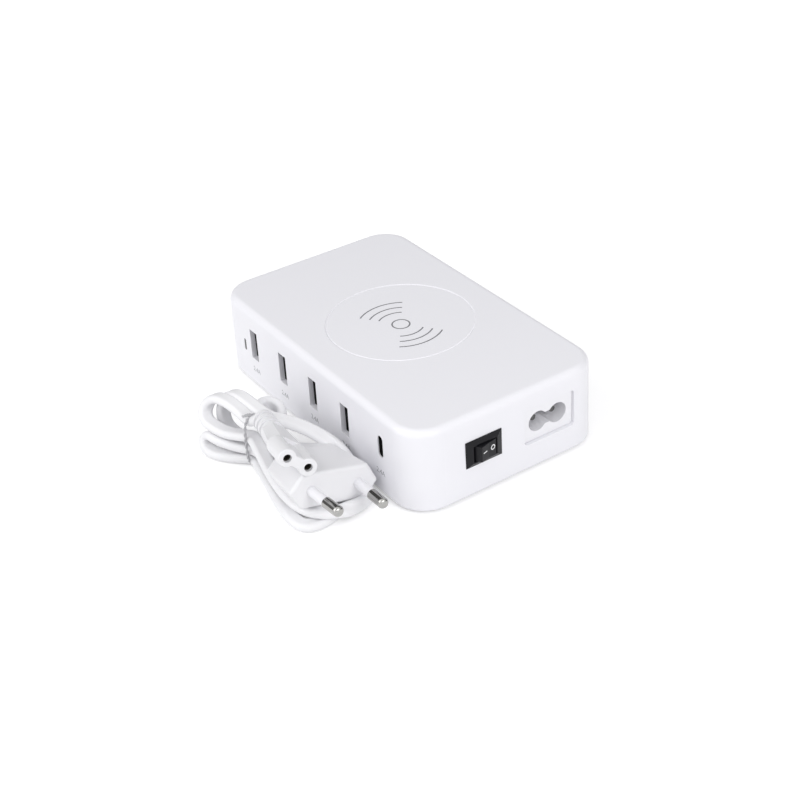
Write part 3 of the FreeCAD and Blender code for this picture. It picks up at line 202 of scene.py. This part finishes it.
# Fine grain of a moulded or cast surface: a height for bump, a roughness and a slightly uneven colour.
def makeGrainGroup():
    group, given, out = newGroup(
        "mouldGrain",
        [
            ("Colour", "NodeSocketColor", (0.8, 0.8, 0.8, 1)),
            ("Grain Scale", "NodeSocketFloat", 900.0),
            ("Patch Scale", "NodeSocketFloat", 25.0),
            ("Patch Depth", "NodeSocketFloat", 0.02),
            ("Rough Low", "NodeSocketFloat", 0.35),
            ("Rough High", "NodeSocketFloat", 0.45),
        ],
        [("Colour", "NodeSocketColor"), ("Roughness", "NodeSocketFloat"), ("Height", "NodeSocketFloat")],
    )
    add = group.nodes.new
    link = group.links.new
    where = add("ShaderNodeTexCoord")
    grain = add("ShaderNodeTexNoise")
    grain.inputs["Detail"].default_value = 2.0
    link(where.outputs["Object"], grain.inputs["Vector"])
    link(given.outputs["Grain Scale"], grain.inputs["Scale"])
    patch = add("ShaderNodeTexNoise")
    patch.inputs["Detail"].default_value = 3.0
    link(where.outputs["Object"], patch.inputs["Vector"])
    link(given.outputs["Patch Scale"], patch.inputs["Scale"])
    rough = add("ShaderNodeMapRange")
    link(patch.outputs["Fac"], rough.inputs["Value"])
    link(given.outputs["Rough Low"], rough.inputs["To Min"])
    link(given.outputs["Rough High"], rough.inputs["To Max"])
    share = add("ShaderNodeMath")
    share.operation = "MULTIPLY"
    link(patch.outputs["Fac"], share.inputs[0])
    link(given.outputs["Patch Depth"], share.inputs[1])
    darker = add("ShaderNodeMix")
    darker.data_type = "RGBA"
    darker.blend_type = "MULTIPLY"
    darker.inputs["B"].default_value = (0.0, 0.0, 0.0, 1)
    link(share.outputs[0], darker.inputs["Factor"])
    link(given.outputs["Colour"], darker.inputs["A"])
    link(darker.outputs["Result"], out.inputs["Colour"])
    link(rough.outputs["Result"], out.inputs["Roughness"])
    link(grain.outputs["Fac"], out.inputs["Height"])
    return group


grainGroup = makeGrainGroup()

# Finishes: colour, roughness range, grain per metre, share of the bump depth and the shader's own values.
bumpDepth = 0.0002  # m
finishes = {
    "whiteShell": {
        "colour": (0.825, 0.822, 0.862), "rough": (0.34, 0.42), "grain": 1400, "bump": 0.05, "specular": 0.45,
    },
    "whiteMoulding": {"colour": (0.825, 0.822, 0.855), "rough": (0.42, 0.5), "grain": 1200, "bump": 0.06},
    "whiteLead": {
        "colour": (0.825, 0.823, 0.843), "rough": (0.36, 0.46), "grain": 700, "bump": 0.05, "specular": 0.45,
    },
    # Greyer copy of the lead's white for the plug and connector: painted shade.
    "shadedWhitePlug": {
        "colour": (0.785, 0.783, 0.805), "rough": (0.36, 0.46), "grain": 900, "bump": 0.05, "specular": 0.45,
    },
    "blackMoulding": {
        "colour": (0.007, 0.007, 0.009), "rough": (0.30, 0.38), "grain": 1500, "bump": 0.05, "specular": 0.2,
    },
    "greyRubber": {"colour": (0.30, 0.30, 0.31), "rough": (0.7, 0.85), "grain": 900, "bump": 0.15},
    "steel": {
        "colour": (0.62, 0.62, 0.64), "rough": (0.22, 0.34), "grain": 1800, "bump": 0.03, "metal": 1.0,
    },
    # Near-black metal for the USB-A shells in place of their bright metal: painted shade inside the sockets.
    "shadedDarkShell": {
        "colour": (0.05, 0.05, 0.053), "rough": (0.35, 0.45), "grain": 1800, "bump": 0.03, "metal": 0.6,
    },
    # Black moulding of the sockets' tongues. On the USB-C shell it replaces the metal, and there this black
    # is painted shade inside the slot.
    "darkSocketAndShade": {
        "colour": (0.012, 0.012, 0.013), "rough": (0.5, 0.6), "grain": 1800, "bump": 0.03, "specular": 0.12,
    },
    # Near-black in place of the contacts' brass: painted shade in the connector's holes.
    "shadedContacts": {"colour": (0.03, 0.026, 0.02), "rough": (0.4, 0.55), "grain": 1500, "bump": 0.03},
    # Dark metal for the inlet's pins, darker than their plating: painted shade in the inlet's well.
    "shadedInletPins": {
        "colour": (0.12, 0.12, 0.12), "rough": (0.2, 0.28), "grain": 900, "bump": 0.02, "metal": 1.0,
    },
    # Grey for the tie's white-coated wire: the darkening below white is painted shade.
    "tieWireAndShade": {"colour": (0.50, 0.50, 0.52), "rough": (0.35, 0.5), "grain": 900, "bump": 0.05},
    "platedPins": {
        "colour": (0.40, 0.396, 0.385), "rough": (0.08, 0.13), "grain": 900, "bump": 0.02, "metal": 1.0,
    },
    "brass": {
        "colour": (0.72, 0.55, 0.22), "rough": (0.2, 0.32), "grain": 1500, "bump": 0.03, "metal": 1.0,
    },
    "copper": {
        "colour": (0.65, 0.30, 0.14), "rough": (0.3, 0.42), "grain": 1100, "bump": 0.08, "metal": 1.0,
    },
    "laminate": {"colour": (0.03, 0.20, 0.09), "rough": (0.4, 0.5), "grain": 800, "bump": 0.05},
    "ferrite": {"colour": (0.06, 0.06, 0.065), "rough": (0.6, 0.75), "grain": 1600, "bump": 0.15},
    "smokedPipe": {"colour": (0.03, 0.03, 0.032), "rough": (0.12, 0.2), "grain": 900, "bump": 0.02},
    "aluminium": {
        "colour": (0.6, 0.61, 0.63), "rough": (0.3, 0.42), "grain": 1400, "bump": 0.04, "metal": 1.0,
    },
    "yellowCase": {"colour": (0.62, 0.45, 0.06), "rough": (0.35, 0.45), "grain": 900, "bump": 0.04},
    "fuseTube": {"colour": (0.75, 0.78, 0.78), "rough": (0.08, 0.14), "grain": 700, "bump": 0.02},
    "darkJacket": {"colour": (0.03, 0.03, 0.035), "rough": (0.45, 0.55), "grain": 900, "bump": 0.06},
    "greyPrint": {"colour": (0.20, 0.20, 0.215), "rough": (0.5, 0.6), "grain": 1600, "bump": 0.03},
    "paleGreyPrint": {"colour": (0.34, 0.34, 0.36), "rough": (0.5, 0.6), "grain": 1600, "bump": 0.03},
    "whitePrint": {"colour": (0.82, 0.82, 0.83), "rough": (0.45, 0.55), "grain": 1600, "bump": 0.03},
}


def makeFinish(name, values):
    material = bpy.data.materials.new(name)
    material.use_nodes = True
    tree = material.node_tree
    shader = tree.nodes["Principled BSDF"]
    effect = tree.nodes.new("ShaderNodeGroup")
    effect.node_tree = grainGroup
    effect.inputs["Colour"].default_value = (*values["colour"], 1)
    effect.inputs["Grain Scale"].default_value = values["grain"]
    effect.inputs["Rough Low"].default_value, effect.inputs["Rough High"].default_value = values["rough"]
    bump = tree.nodes.new("ShaderNodeBump")
    bump.inputs["Strength"].default_value = values["bump"]
    bump.inputs["Distance"].default_value = bumpDepth
    tree.links.new(effect.outputs["Colour"], shader.inputs["Base Color"])
    tree.links.new(effect.outputs["Roughness"], shader.inputs["Roughness"])
    tree.links.new(effect.outputs["Height"], bump.inputs["Height"])
    tree.links.new(bump.outputs["Normal"], shader.inputs["Normal"])
    shader.inputs["Metallic"].default_value = values.get("metal", 0.0)
    shader.inputs["Specular IOR Level"].default_value = values.get("specular", 0.5)
    return material


materials = {name: makeFinish(name, values) for name, values in finishes.items()}

# Which finish each of the record's slots gets.
slotFinish = {
    "white_shell": "whiteShell", "white_plastic": "whiteMoulding", "black_plastic": "blackMoulding",
    "foot_rubber": "greyRubber", "steel": "steel", "plated_pins": "platedPins", "brass_contacts": "brass",
    "copper_winding": "copper", "board_laminate": "laminate", "dark_ferrite": "ferrite",
    "light_pipe": "smokedPipe", "can_aluminium": "aluminium", "yellow_case": "yellowCase",
    "fuse_glass": "fuseTube", "wire_jacket": "darkJacket", "lead_white": "whiteLead",
}
# Pieces whose finish differs from their slot's.
ownFinish = {
    # The USB-C shell gets the black socket finish instead of metal: painted shade inside its slot.
    # The connector's contacts get a near-black finish instead of brass: painted shade in its holes.
    "usb_c_shell": "darkSocketAndShade", "usb_c_tongue": "darkSocketAndShade", "connector_contacts": "shadedContacts",
    # Inlet pins darkened: painted shade in the well.
    "inlet_pin_1": "shadedInletPins", "inlet_pin_2": "shadedInletPins",
    # Plug and connector in the greyer white: painted shade.
    "lead_plug": "shadedWhitePlug", "lead_connector": "shadedWhitePlug",
}
for number in range(1, 5):
    # USB-A shells darkened: painted shade inside the sockets.
    ownFinish[f"usb_a_shell_{number}"] = "shadedDarkShell"
    ownFinish[f"usb_a_tongue_{number}"] = "darkSocketAndShade"
for entry in frame["record"]["subparts"]:
    skin = nodes[entry["node"]].data.materials
    skin.clear()
    skin.append(materials[ownFinish.get(entry["node"], slotFinish[entry["material_slot"]])])
print("finishes on", len(nodes), "frame pieces")

# Pieces


def addPiece(name, bm, finish, body):
    mesh = bpy.data.meshes.new(name)
    bm.to_mesh(mesh)
    bm.free()
    mesh.materials.append(materials[finish])
    piece = bpy.data.objects.new(name, mesh)
    bpy.context.scene.collection.objects.link(piece)
    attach(piece, body)
    return piece


# Lines and tubes


# Points of a smooth line with the given points as its control points, in metres.
def smoothLine(points, steps, closed=False):
    curve = bpy.data.curves.new("routeLine", "CURVE")
    curve.dimensions = "3D"
    curve.resolution_u = steps
    spline = curve.splines.new("NURBS")
    spline.points.add(len(points) - 1)
    for control, point in zip(spline.points, points):
        control.co = (*(Vector(point) * mm), 1)
    spline.order_u = 3
    spline.use_endpoint_u = not closed
    spline.use_cyclic_u = closed
    holder = bpy.data.objects.new("routeLine", curve)
    line = bpy.data.meshes.new_from_object(holder)
    found = [vertex.co.copy() for vertex in line.vertices]
    bpy.data.meshes.remove(line)
    bpy.data.objects.remove(holder)
    bpy.data.curves.remove(curve)
    return found


# Way that a line runs at one of its points.
def heading(line, index, closed):
    count = len(line)
    after = line[(index + 1) % count] if closed else line[min(index + 1, count - 1)]
    before = line[index - 1] if closed else line[max(index - 1, 0)]
    return (after - before).normalized()


# Carries a flat outline along a line. For each point of the line, side has a point on the outline's wide way.
def sweep(bm, line, side, outline, closed=False):
    start = ring = None
    for index, spot in enumerate(line):
        ahead = heading(line, index, closed)
        wide = side[index] - spot
        wide = (wide - ahead * wide.dot(ahead)).normalized()
        thin = ahead.cross(wide)
        places = [spot + wide * across + thin * up for across, up in outline]
        if ring is None:
            ring = start = [bm.verts.new(place) for place in places]
            for i in range(len(ring)):
                bm.edges.new((ring[i - 1], ring[i]))
            continue
        edges = [bm.edges.get((ring[i - 1], ring[i])) for i in range(len(ring))]
        made = bmesh.ops.extrude_edge_only(bm, edges=edges)["geom"]
        fresh = {item for item in made if isinstance(item, bmesh.types.BMVert)}
        following = []
        for old, place in zip(ring, places):
            new = next(edge.other_vert(old) for edge in old.link_edges if edge.other_vert(old) in fresh)
            new.co = place
            following.append(new)
        ring = following
    ends = [[bm.edges.get((loop[i - 1], loop[i])) for i in range(len(loop))] for loop in (start, ring)]
    if closed:
        bmesh.ops.bridge_loops(bm, edges=ends[0] + ends[1])
    else:
        for edges in ends:
            bmesh.ops.contextual_create(bm, geom=edges)
    bmesh.ops.recalc_face_normals(bm, faces=bm.faces)
    for face in bm.faces:
        face.smooth = len(face.verts) == 4


def roundOutline(radius, sides):
    turns = [2 * math.pi * index / sides for index in range(sides)]
    return [(radius * math.cos(turn) * mm, radius * math.sin(turn) * mm) for turn in turns]


# Mains lead: one flat two-core lead from the connector through the tie, round its loops and to the plug.
lead = {
    "width": 5.6,  # mm
    "thickness": 3.5,
    "groove": 0.42,  # depth of the line between the cores
    "grooveShare": 0.55,  # its half width, as a share of a core's radius
    "spread": 0.8,  # below 1 the outline's points lie closer together at the edges
    "sides": 20,
    "steps": 8,  # points of the line for each point of the route
    "guide": 5.0,  # how far the line beside the route lies from it
    # x, y, z in mm and the way that the lead's wide side lies there
    "route": [
        (9.8, -66.1, 22.95, "+y"), (6.6, -65.5, 22.3, "+y"), (3.6, -65.6, 20.4, "+y"),
        # upper left loop on the near side
        (0.7, -66.0, 17.9, "+y"), (-3.0, -66.3, 17.6, "+y"), (-8.0, -66.8, 18.7, "+y"),
        (-14.0, -68.0, 19.8, "+y"), (-20.0, -69.8, 19.4, "+y"), (-23.2, -72.0, 16.0, "+y"),
        (-22.8, -74.0, 12.5, "+y"), (-19.8, -74.6, 10.8, "+y"), (-15.0, -74.0, 10.5, "+y"),
        (-9.0, -72.0, 10.0, "+y"), (-3.0, -68.6, 10.9, "+y"), (0.7, -67.1, 11.9, "+y"),
        # near strand, over the front of the plug's loop and round to the far side
        (4.2, -67.4, 11.6, "+y"), (9.0, -68.0, 9.6, "+y"), (18.0, -69.4, 6.4, "+y"),
        (30.0, -71.0, 5.4, "+y"), (40.0, -70.8, 5.4, "+y"), (46.8, -67.4, 5.4, "-x"),
        (49.2, -61.0, 4.4, "-x"), (48.8, -54.0, 3.2, "+z"), (47.0, -47.5, 2.9, "+z"),
        (41.0, -44.3, 2.9, "+z"), (33.0, -44.4, 5.2, "+z"), (27.0, -45.2, 9.8, "+z"),
        (20.0, -48.2, 13.4, "+y"), (13.0, -52.4, 16.2, "+y"), (6.5, -57.0, 17.6, "+y"),
        # left loop on the far side, from the top to the bottom
        (0.7, -60.4, 17.4, "+y"), (-8.0, -62.0, 19.4, "+y"), (-16.0, -63.4, 20.2, "+y"),
        (-20.6, -65.6, 17.4, "+y"), (-21.0, -67.6, 11.6, "+y"), (-18.0, -68.0, 6.6, "+y"),
        (-11.0, -65.6, 4.2, "+y"), (-4.5, -62.2, 2.8, "+y"),
        # flat loop on the table, under the plug
        (0.7, -60.8, 2.2, "+y"), (12.0, -58.0, 1.9, "+y"), (24.0, -53.6, 1.8, "+y"),
        (36.0, -53.0, 1.8, "+y"), (43.6, -57.0, 1.8, "+x"), (47.4, -66.0, 1.8, "+x"),
        (46.2, -73.2, 1.8, "+x"), (39.0, -74.2, 1.8, "-y"), (30.0, -72.8, 1.8, "-y"),
        (18.0, -70.0, 1.8, "-y"), (9.0, -68.0, 1.9, "-y"),
        # lower left loop on the near side
        (0.7, -66.4, 2.2, "-y"), (-3.5, -70.6, 1.9, "-y"), (-7.6, -74.4, 1.9, "-y"),
        (-11.4, -76.8, 1.9, "-y"), (-14.8, -77.6, 1.9, "-y"), (-17.3, -77.4, 2.5, "-y"),
        (-18.6, -76.7, 4.2, "-y"), (-18.1, -75.9, 6.2, "-y"), (-16.2, -75.4, 7.2, "-y"),
        (-13.5, -74.8, 6.8, "-y"), (-9.4, -73.0, 6.4, "-y"), (-4.6, -70.2, 6.0, "-y"),
        # short turn beside the plug's neck
        (0.7, -66.6, 6.2, "-y"), (3.6, -66.2, 6.2, "-y"), (6.8, -65.0, 7.2, "-y"), (8.5, -63.2, 9.6, "-y"),
        (7.5, -61.2, 12.0, "-y"), (4.5, -60.3, 13.2, "-y"),
        # bulge towards the housing
        (0.7, -60.4, 13.0, "-y"), (-4.6, -59.9, 13.6, "-y"), (-10.0, -58.2, 14.0, "+z"),
        (-13.3, -55.0, 13.6, "+z"), (-13.0, -51.3, 12.6, "+z"), (-9.6, -49.5, 11.6, "+z"),
        (-5.7, -50.7, 10.6, "+z"), (-3.4, -54.0, 9.4, "+z"),
        # last run to the plug
        (-1.5, -57.0, 8.2, "+z"), (1.2, -58.6, 7.4, "-y"), (3.6, -58.7, 7.2, "-y"),
    ],
}
# Ways that its wide side can lie.
wideWays = {
    "+x": Vector((1, 0, 0)), "-x": Vector((-1, 0, 0)), "+y": Vector((0, 1, 0)), "-y": Vector((0, -1, 0)),
    "+z": Vector((0, 0, 1)),
}


# Outline of the flat lead: two round cores side by side with a shallow line between them.
def leadOutline(values):
    core = values["thickness"] / 2
    reach = values["width"] / 2 - core
    outline = []
    for index in range(values["sides"]):
        turn = 2 * math.pi * index / values["sides"]
        across = (abs(math.cos(turn)) ** values["spread"]) * math.copysign(reach + core, math.cos(turn))
        bulge = math.sqrt(max(0.0, core**2 - max(0.0, abs(across) - reach) ** 2))
        dip = values["groove"] * max(0.0, 1 - (across / (values["grooveShare"] * core)) ** 2)
        outline.append((across * mm, math.copysign(max(0.0, bulge - dip), math.sin(turn)) * mm))
    return outline


def makeLead(values):
    points = [Vector(spot[:3]) for spot in values["route"]]
    beside = [point + values["guide"] * wideWays[spot[3]] for point, spot in zip(points, values["route"])]
    line = smoothLine(points, values["steps"])
    bm = bmesh.new()
    sweep(bm, line, smoothLine(beside, values["steps"]), leadOutline(values))
    piece = addPiece("mainsLead", bm, "whiteLead", "station")
    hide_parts("lead_hank")
    length = round(sum((b - a).length for a, b in zip(line, line[1:])), 3)
    print("lead is", length, "m long")
    return piece, line, length


# Tie round the hank: two thin wires laid round each other, with their ends twisted to a short knot on top.
# Their grey, darker than the wire's white coating, is painted shade.
tie = {
    "wire": 0.3,  # mm
    "lay": 0.27,  # from the middle of the pair to either wire
    "sides": 8,
    "steps": 12,
    "ring": [
        (1.4, -63.3, 20.4), (1.5, -66.6, 21.4), (1.6, -69.6, 19.6), (1.7, -70.4, 14.0), (1.6, -70.4, 8.0),
        (1.5, -70.2, 2.4), (1.3, -68.4, 0.6), (1.2, -63.5, 0.6), (1.0, -58.4, 0.6), (0.9, -56.0, 3.4),
        (0.8, -55.6, 9.0), (0.9, -56.6, 15.6), (1.1, -59.2, 19.6),
    ],
    "ringTurns": 15,
    "knot": [(1.6, -65.8, 20.9), (1.3, -67.0, 21.5), (0.7, -68.4, 21.6), (0.0, -69.6, 21.0)],
    "knotTurns": 2.5,
}


# One wire of a pair laid round a line that doesn't run along X.
def layWire(line, turns, start, reach, closed):
    wire = []
    for index, spot in enumerate(line):
        ahead = heading(line, index, closed)
        aside = (Vector((1, 0, 0)) - ahead * ahead.x).normalized()
        turn = start + 2 * math.pi * turns * index / len(line)
        wire.append(spot + (aside * math.cos(turn) + ahead.cross(aside) * math.sin(turn)) * reach * mm)
    return wire


def makeTie(values):
    outline = roundOutline(values["wire"], values["sides"])
    bm = bmesh.new()
    for part, closed in (("ring", True), ("knot", False)):
        line = smoothLine(values[part], values["steps"], closed)
        for start in (0.0, math.pi):
            wire = layWire(line, values[part + "Turns"], start, values["lay"], closed)
            sweep(bm, wire, [spot + Vector((1, 0, 0)) for spot in wire], outline, closed)
    piece = addPiece("twistTie", bm, "tieWireAndShade", "station")
    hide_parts("lead_tie")
    return piece


leadPiece, leadLine, leadLength = makeLead(lead)
tiePiece = makeTie(tie)
print("lead and tie made")

# Printed wave sign on the charging top: a ring and three arcs on either side of it.
waveSign = {
    "centre": (0.61, -1.1),  # mm
    "top": 33.7,
    "line": 0.56,
    "height": 0.012,
    "ring": 3.3,
    "arcs": (8.7, 12.4, 16.2),
    "halfTurn": 36.0,  # degrees to either side
    "arcSteps": 24,
    "ringSteps": 40,
}


# Flat strip of the given line width, spun about a point of the plane z = 0.
def spinStrip(bm, radius, line, start, turn, steps):
    across = Vector((math.cos(start), math.sin(start), 0))
    ends = [bm.verts.new(across * reach * mm) for reach in (radius - line / 2, radius + line / 2)]
    edge = bm.edges.new(ends)
    bmesh.ops.spin(
        bm, geom=ends + [edge], cent=(0, 0, 0), axis=(0, 0, 1), angle=turn, steps=steps,
        use_merge=turn >= 2 * math.pi, use_duplicate=False,
    )


samePlace = 1e-7  # m, points closer than this are one


# Gives flat print its slight height and puts it on its surface.
def raisePrint(bm, height, place):
    bmesh.ops.remove_doubles(bm, verts=bm.verts, dist=samePlace)
    bmesh.ops.recalc_face_normals(bm, faces=bm.faces)
    made = bmesh.ops.extrude_face_region(bm, geom=bm.faces[:])["geom"]
    lifted = [item for item in made if isinstance(item, bmesh.types.BMVert)]
    bmesh.ops.translate(bm, verts=lifted, vec=(0, 0, height * mm))
    bmesh.ops.recalc_face_normals(bm, faces=bm.faces)
    bmesh.ops.transform(bm, verts=bm.verts, matrix=place)


def makeWaveSign(values):
    bm = bmesh.new()
    spinStrip(bm, values["ring"], values["line"], 0.0, 2 * math.pi, values["ringSteps"])
    half = math.radians(values["halfTurn"])
    for radius in values["arcs"]:
        for middle in (0.0, math.pi):
            spinStrip(bm, radius, values["line"], middle - half, 2 * half, values["arcSteps"])
    place = Matrix.Translation((values["centre"][0] * mm, values["centre"][1] * mm, values["top"] * mm))
    raisePrint(bm, values["height"], place)
    addPiece("waveSign", bm, "greyPrint", "station")


makeWaveSign(waveSign)
print("wave sign made")

# Leaning front of the housing.
front = {
    "foot": -41.3,  # y in mm where it starts
    "bottom": 1.0,  # z there
    "lean": 0.8,  # degrees
}


# Place on the front, with Z outwards, and so far out of its surface.
def onFront(values, x, z, out):
    y = values["foot"] + (z - values["bottom"]) * math.tan(math.radians(values["lean"])) - out
    stand = Matrix.Rotation(math.radians(90 - values["lean"]), 4, "X")
    return Matrix.Translation((x * mm, y * mm, z * mm)) @ stand


# Ratings under the sockets.
ratings = {
    "words": ("2.4A",) * 5,
    "places": ((-42.4, 8.2), (-20.7, 8.0), (0.95, 8.6), (22.6, 8.4), (45.0, 9.8)),  # x and z in mm
    "size": 2.8,
    "height": 0.012,
    "proud": 0.02,  # middle of the print in front of the surface
    "steps": 3,  # points for each bend of a letter
}


def makeRatings(values):
    bm = bmesh.new()
    for word, (x, z) in zip(values["words"], values["places"]):
        curve = bpy.data.curves.new("rating", "FONT")
        curve.body = word
        curve.size = values["size"] * mm
        curve.align_x, curve.align_y = "CENTER", "CENTER"
        curve.extrude = values["height"] * mm
        curve.resolution_u = values["steps"]
        holder = bpy.data.objects.new("rating", curve)
        mesh = bpy.data.meshes.new_from_object(holder)
        mesh.transform(onFront(front, x, z, values["proud"]))
        bm.from_mesh(mesh)
        bpy.data.meshes.remove(mesh)
        bpy.data.objects.remove(holder)
        bpy.data.curves.remove(curve)
    addPiece("portRatings", bm, "paleGreyPrint", "station")


makeRatings(ratings)
print("ratings made")

# Smoked window of the indicator light over the slot's mouth, wider than the slot so that its dark also covers
# the slot's walls: partly a real window, partly painted shade of the slot.
lampWindowShade = {
    "place": (-49.84, 16.7),  # x and z in mm
    "width": 1.35,
    "length": 5.0,
    "height": 0.05,
    "proud": 0.02,  # how much of the height is in front of the surface
    "sides": 24,
}


def makeLampWindowShade(values):
    bm = bmesh.new()
    radius = values["width"] / 2
    bmesh.ops.create_circle(bm, cap_ends=True, segments=values["sides"], radius=radius * mm)
    drawn = (values["length"] / 2 - radius) * mm
    for end in (1, -1):
        half = [vert for vert in bm.verts if vert.co.y * end > samePlace]
        bmesh.ops.translate(bm, verts=half, vec=(0, end * drawn, 0))
    x, z = values["place"]
    raisePrint(bm, values["height"], onFront(front, x, z, values["proud"] - values["height"]))
    addPiece("lampWindowShade", bm, "smokedPipe", "station")


makeLampWindowShade(lampWindowShade)
print("lamp window made")

# White dash and ring on the rocker's face.
rockerMarks = {
    "pivot": (64.3775, -12.2, 18.4),  # mm
    "tilt": 13.0,  # degrees
    "reach": 3.7,  # from the pivot to the face's ends
    "dish": 0.2,  # how far the face's middle lies below them
    "half": 3.6,  # half of the face's length
    "ringAt": 2.1,
    "dashAt": -1.9,
    "lift": 0.25,  # marks above the rocker's middle
    "ring": 0.85,
    "line": 0.36,
    "dash": (1.9, 0.36),
    "height": 0.012,
    "ringSteps": 32,
}


# Place of a mark on the rocker's face, with the mark's own Y along the rocker and its Z outwards.
def onRocker(values, along):
    slope = math.atan2(values["dish"], values["half"]) * math.copysign(1, along)
    tilt = Matrix.Rotation(math.radians(values["tilt"]), 4, "Z")
    out = values["reach"] - values["dish"] + values["dish"] * abs(along) / values["half"]
    face = Matrix.Translation((out * mm, along * mm, values["lift"] * mm)) @ Matrix.Rotation(-slope, 4, "Z")
    upright = Matrix(((0, 0, 1, 0), (1, 0, 0, 0), (0, 1, 0, 0), (0, 0, 0, 1)))
    return Matrix.Translation(Vector(values["pivot"]) * mm) @ tilt @ face @ upright


def makeRockerMarks(values):
    bm = bmesh.new()
    spinStrip(bm, values["ring"], values["line"], 0.0, 2 * math.pi, values["ringSteps"])
    raisePrint(bm, values["height"], onRocker(values, values["ringAt"]))
    dash = bmesh.new()
    long, wide = values["dash"]
    bmesh.ops.create_grid(dash, x_segments=1, y_segments=1, size=0.5 * mm)
    bmesh.ops.scale(dash, verts=dash.verts, vec=(long, wide, 1))
    raisePrint(dash, values["height"], onRocker(values, values["dashAt"]))
    mesh = bpy.data.meshes.new("dash")
    dash.to_mesh(mesh)
    dash.free()
    bm.from_mesh(mesh)
    bpy.data.meshes.remove(mesh)
    addPiece("rockerMarks", bm, "whitePrint", "rocker")


makeRockerMarks(rockerMarks)
print("rocker marks made")
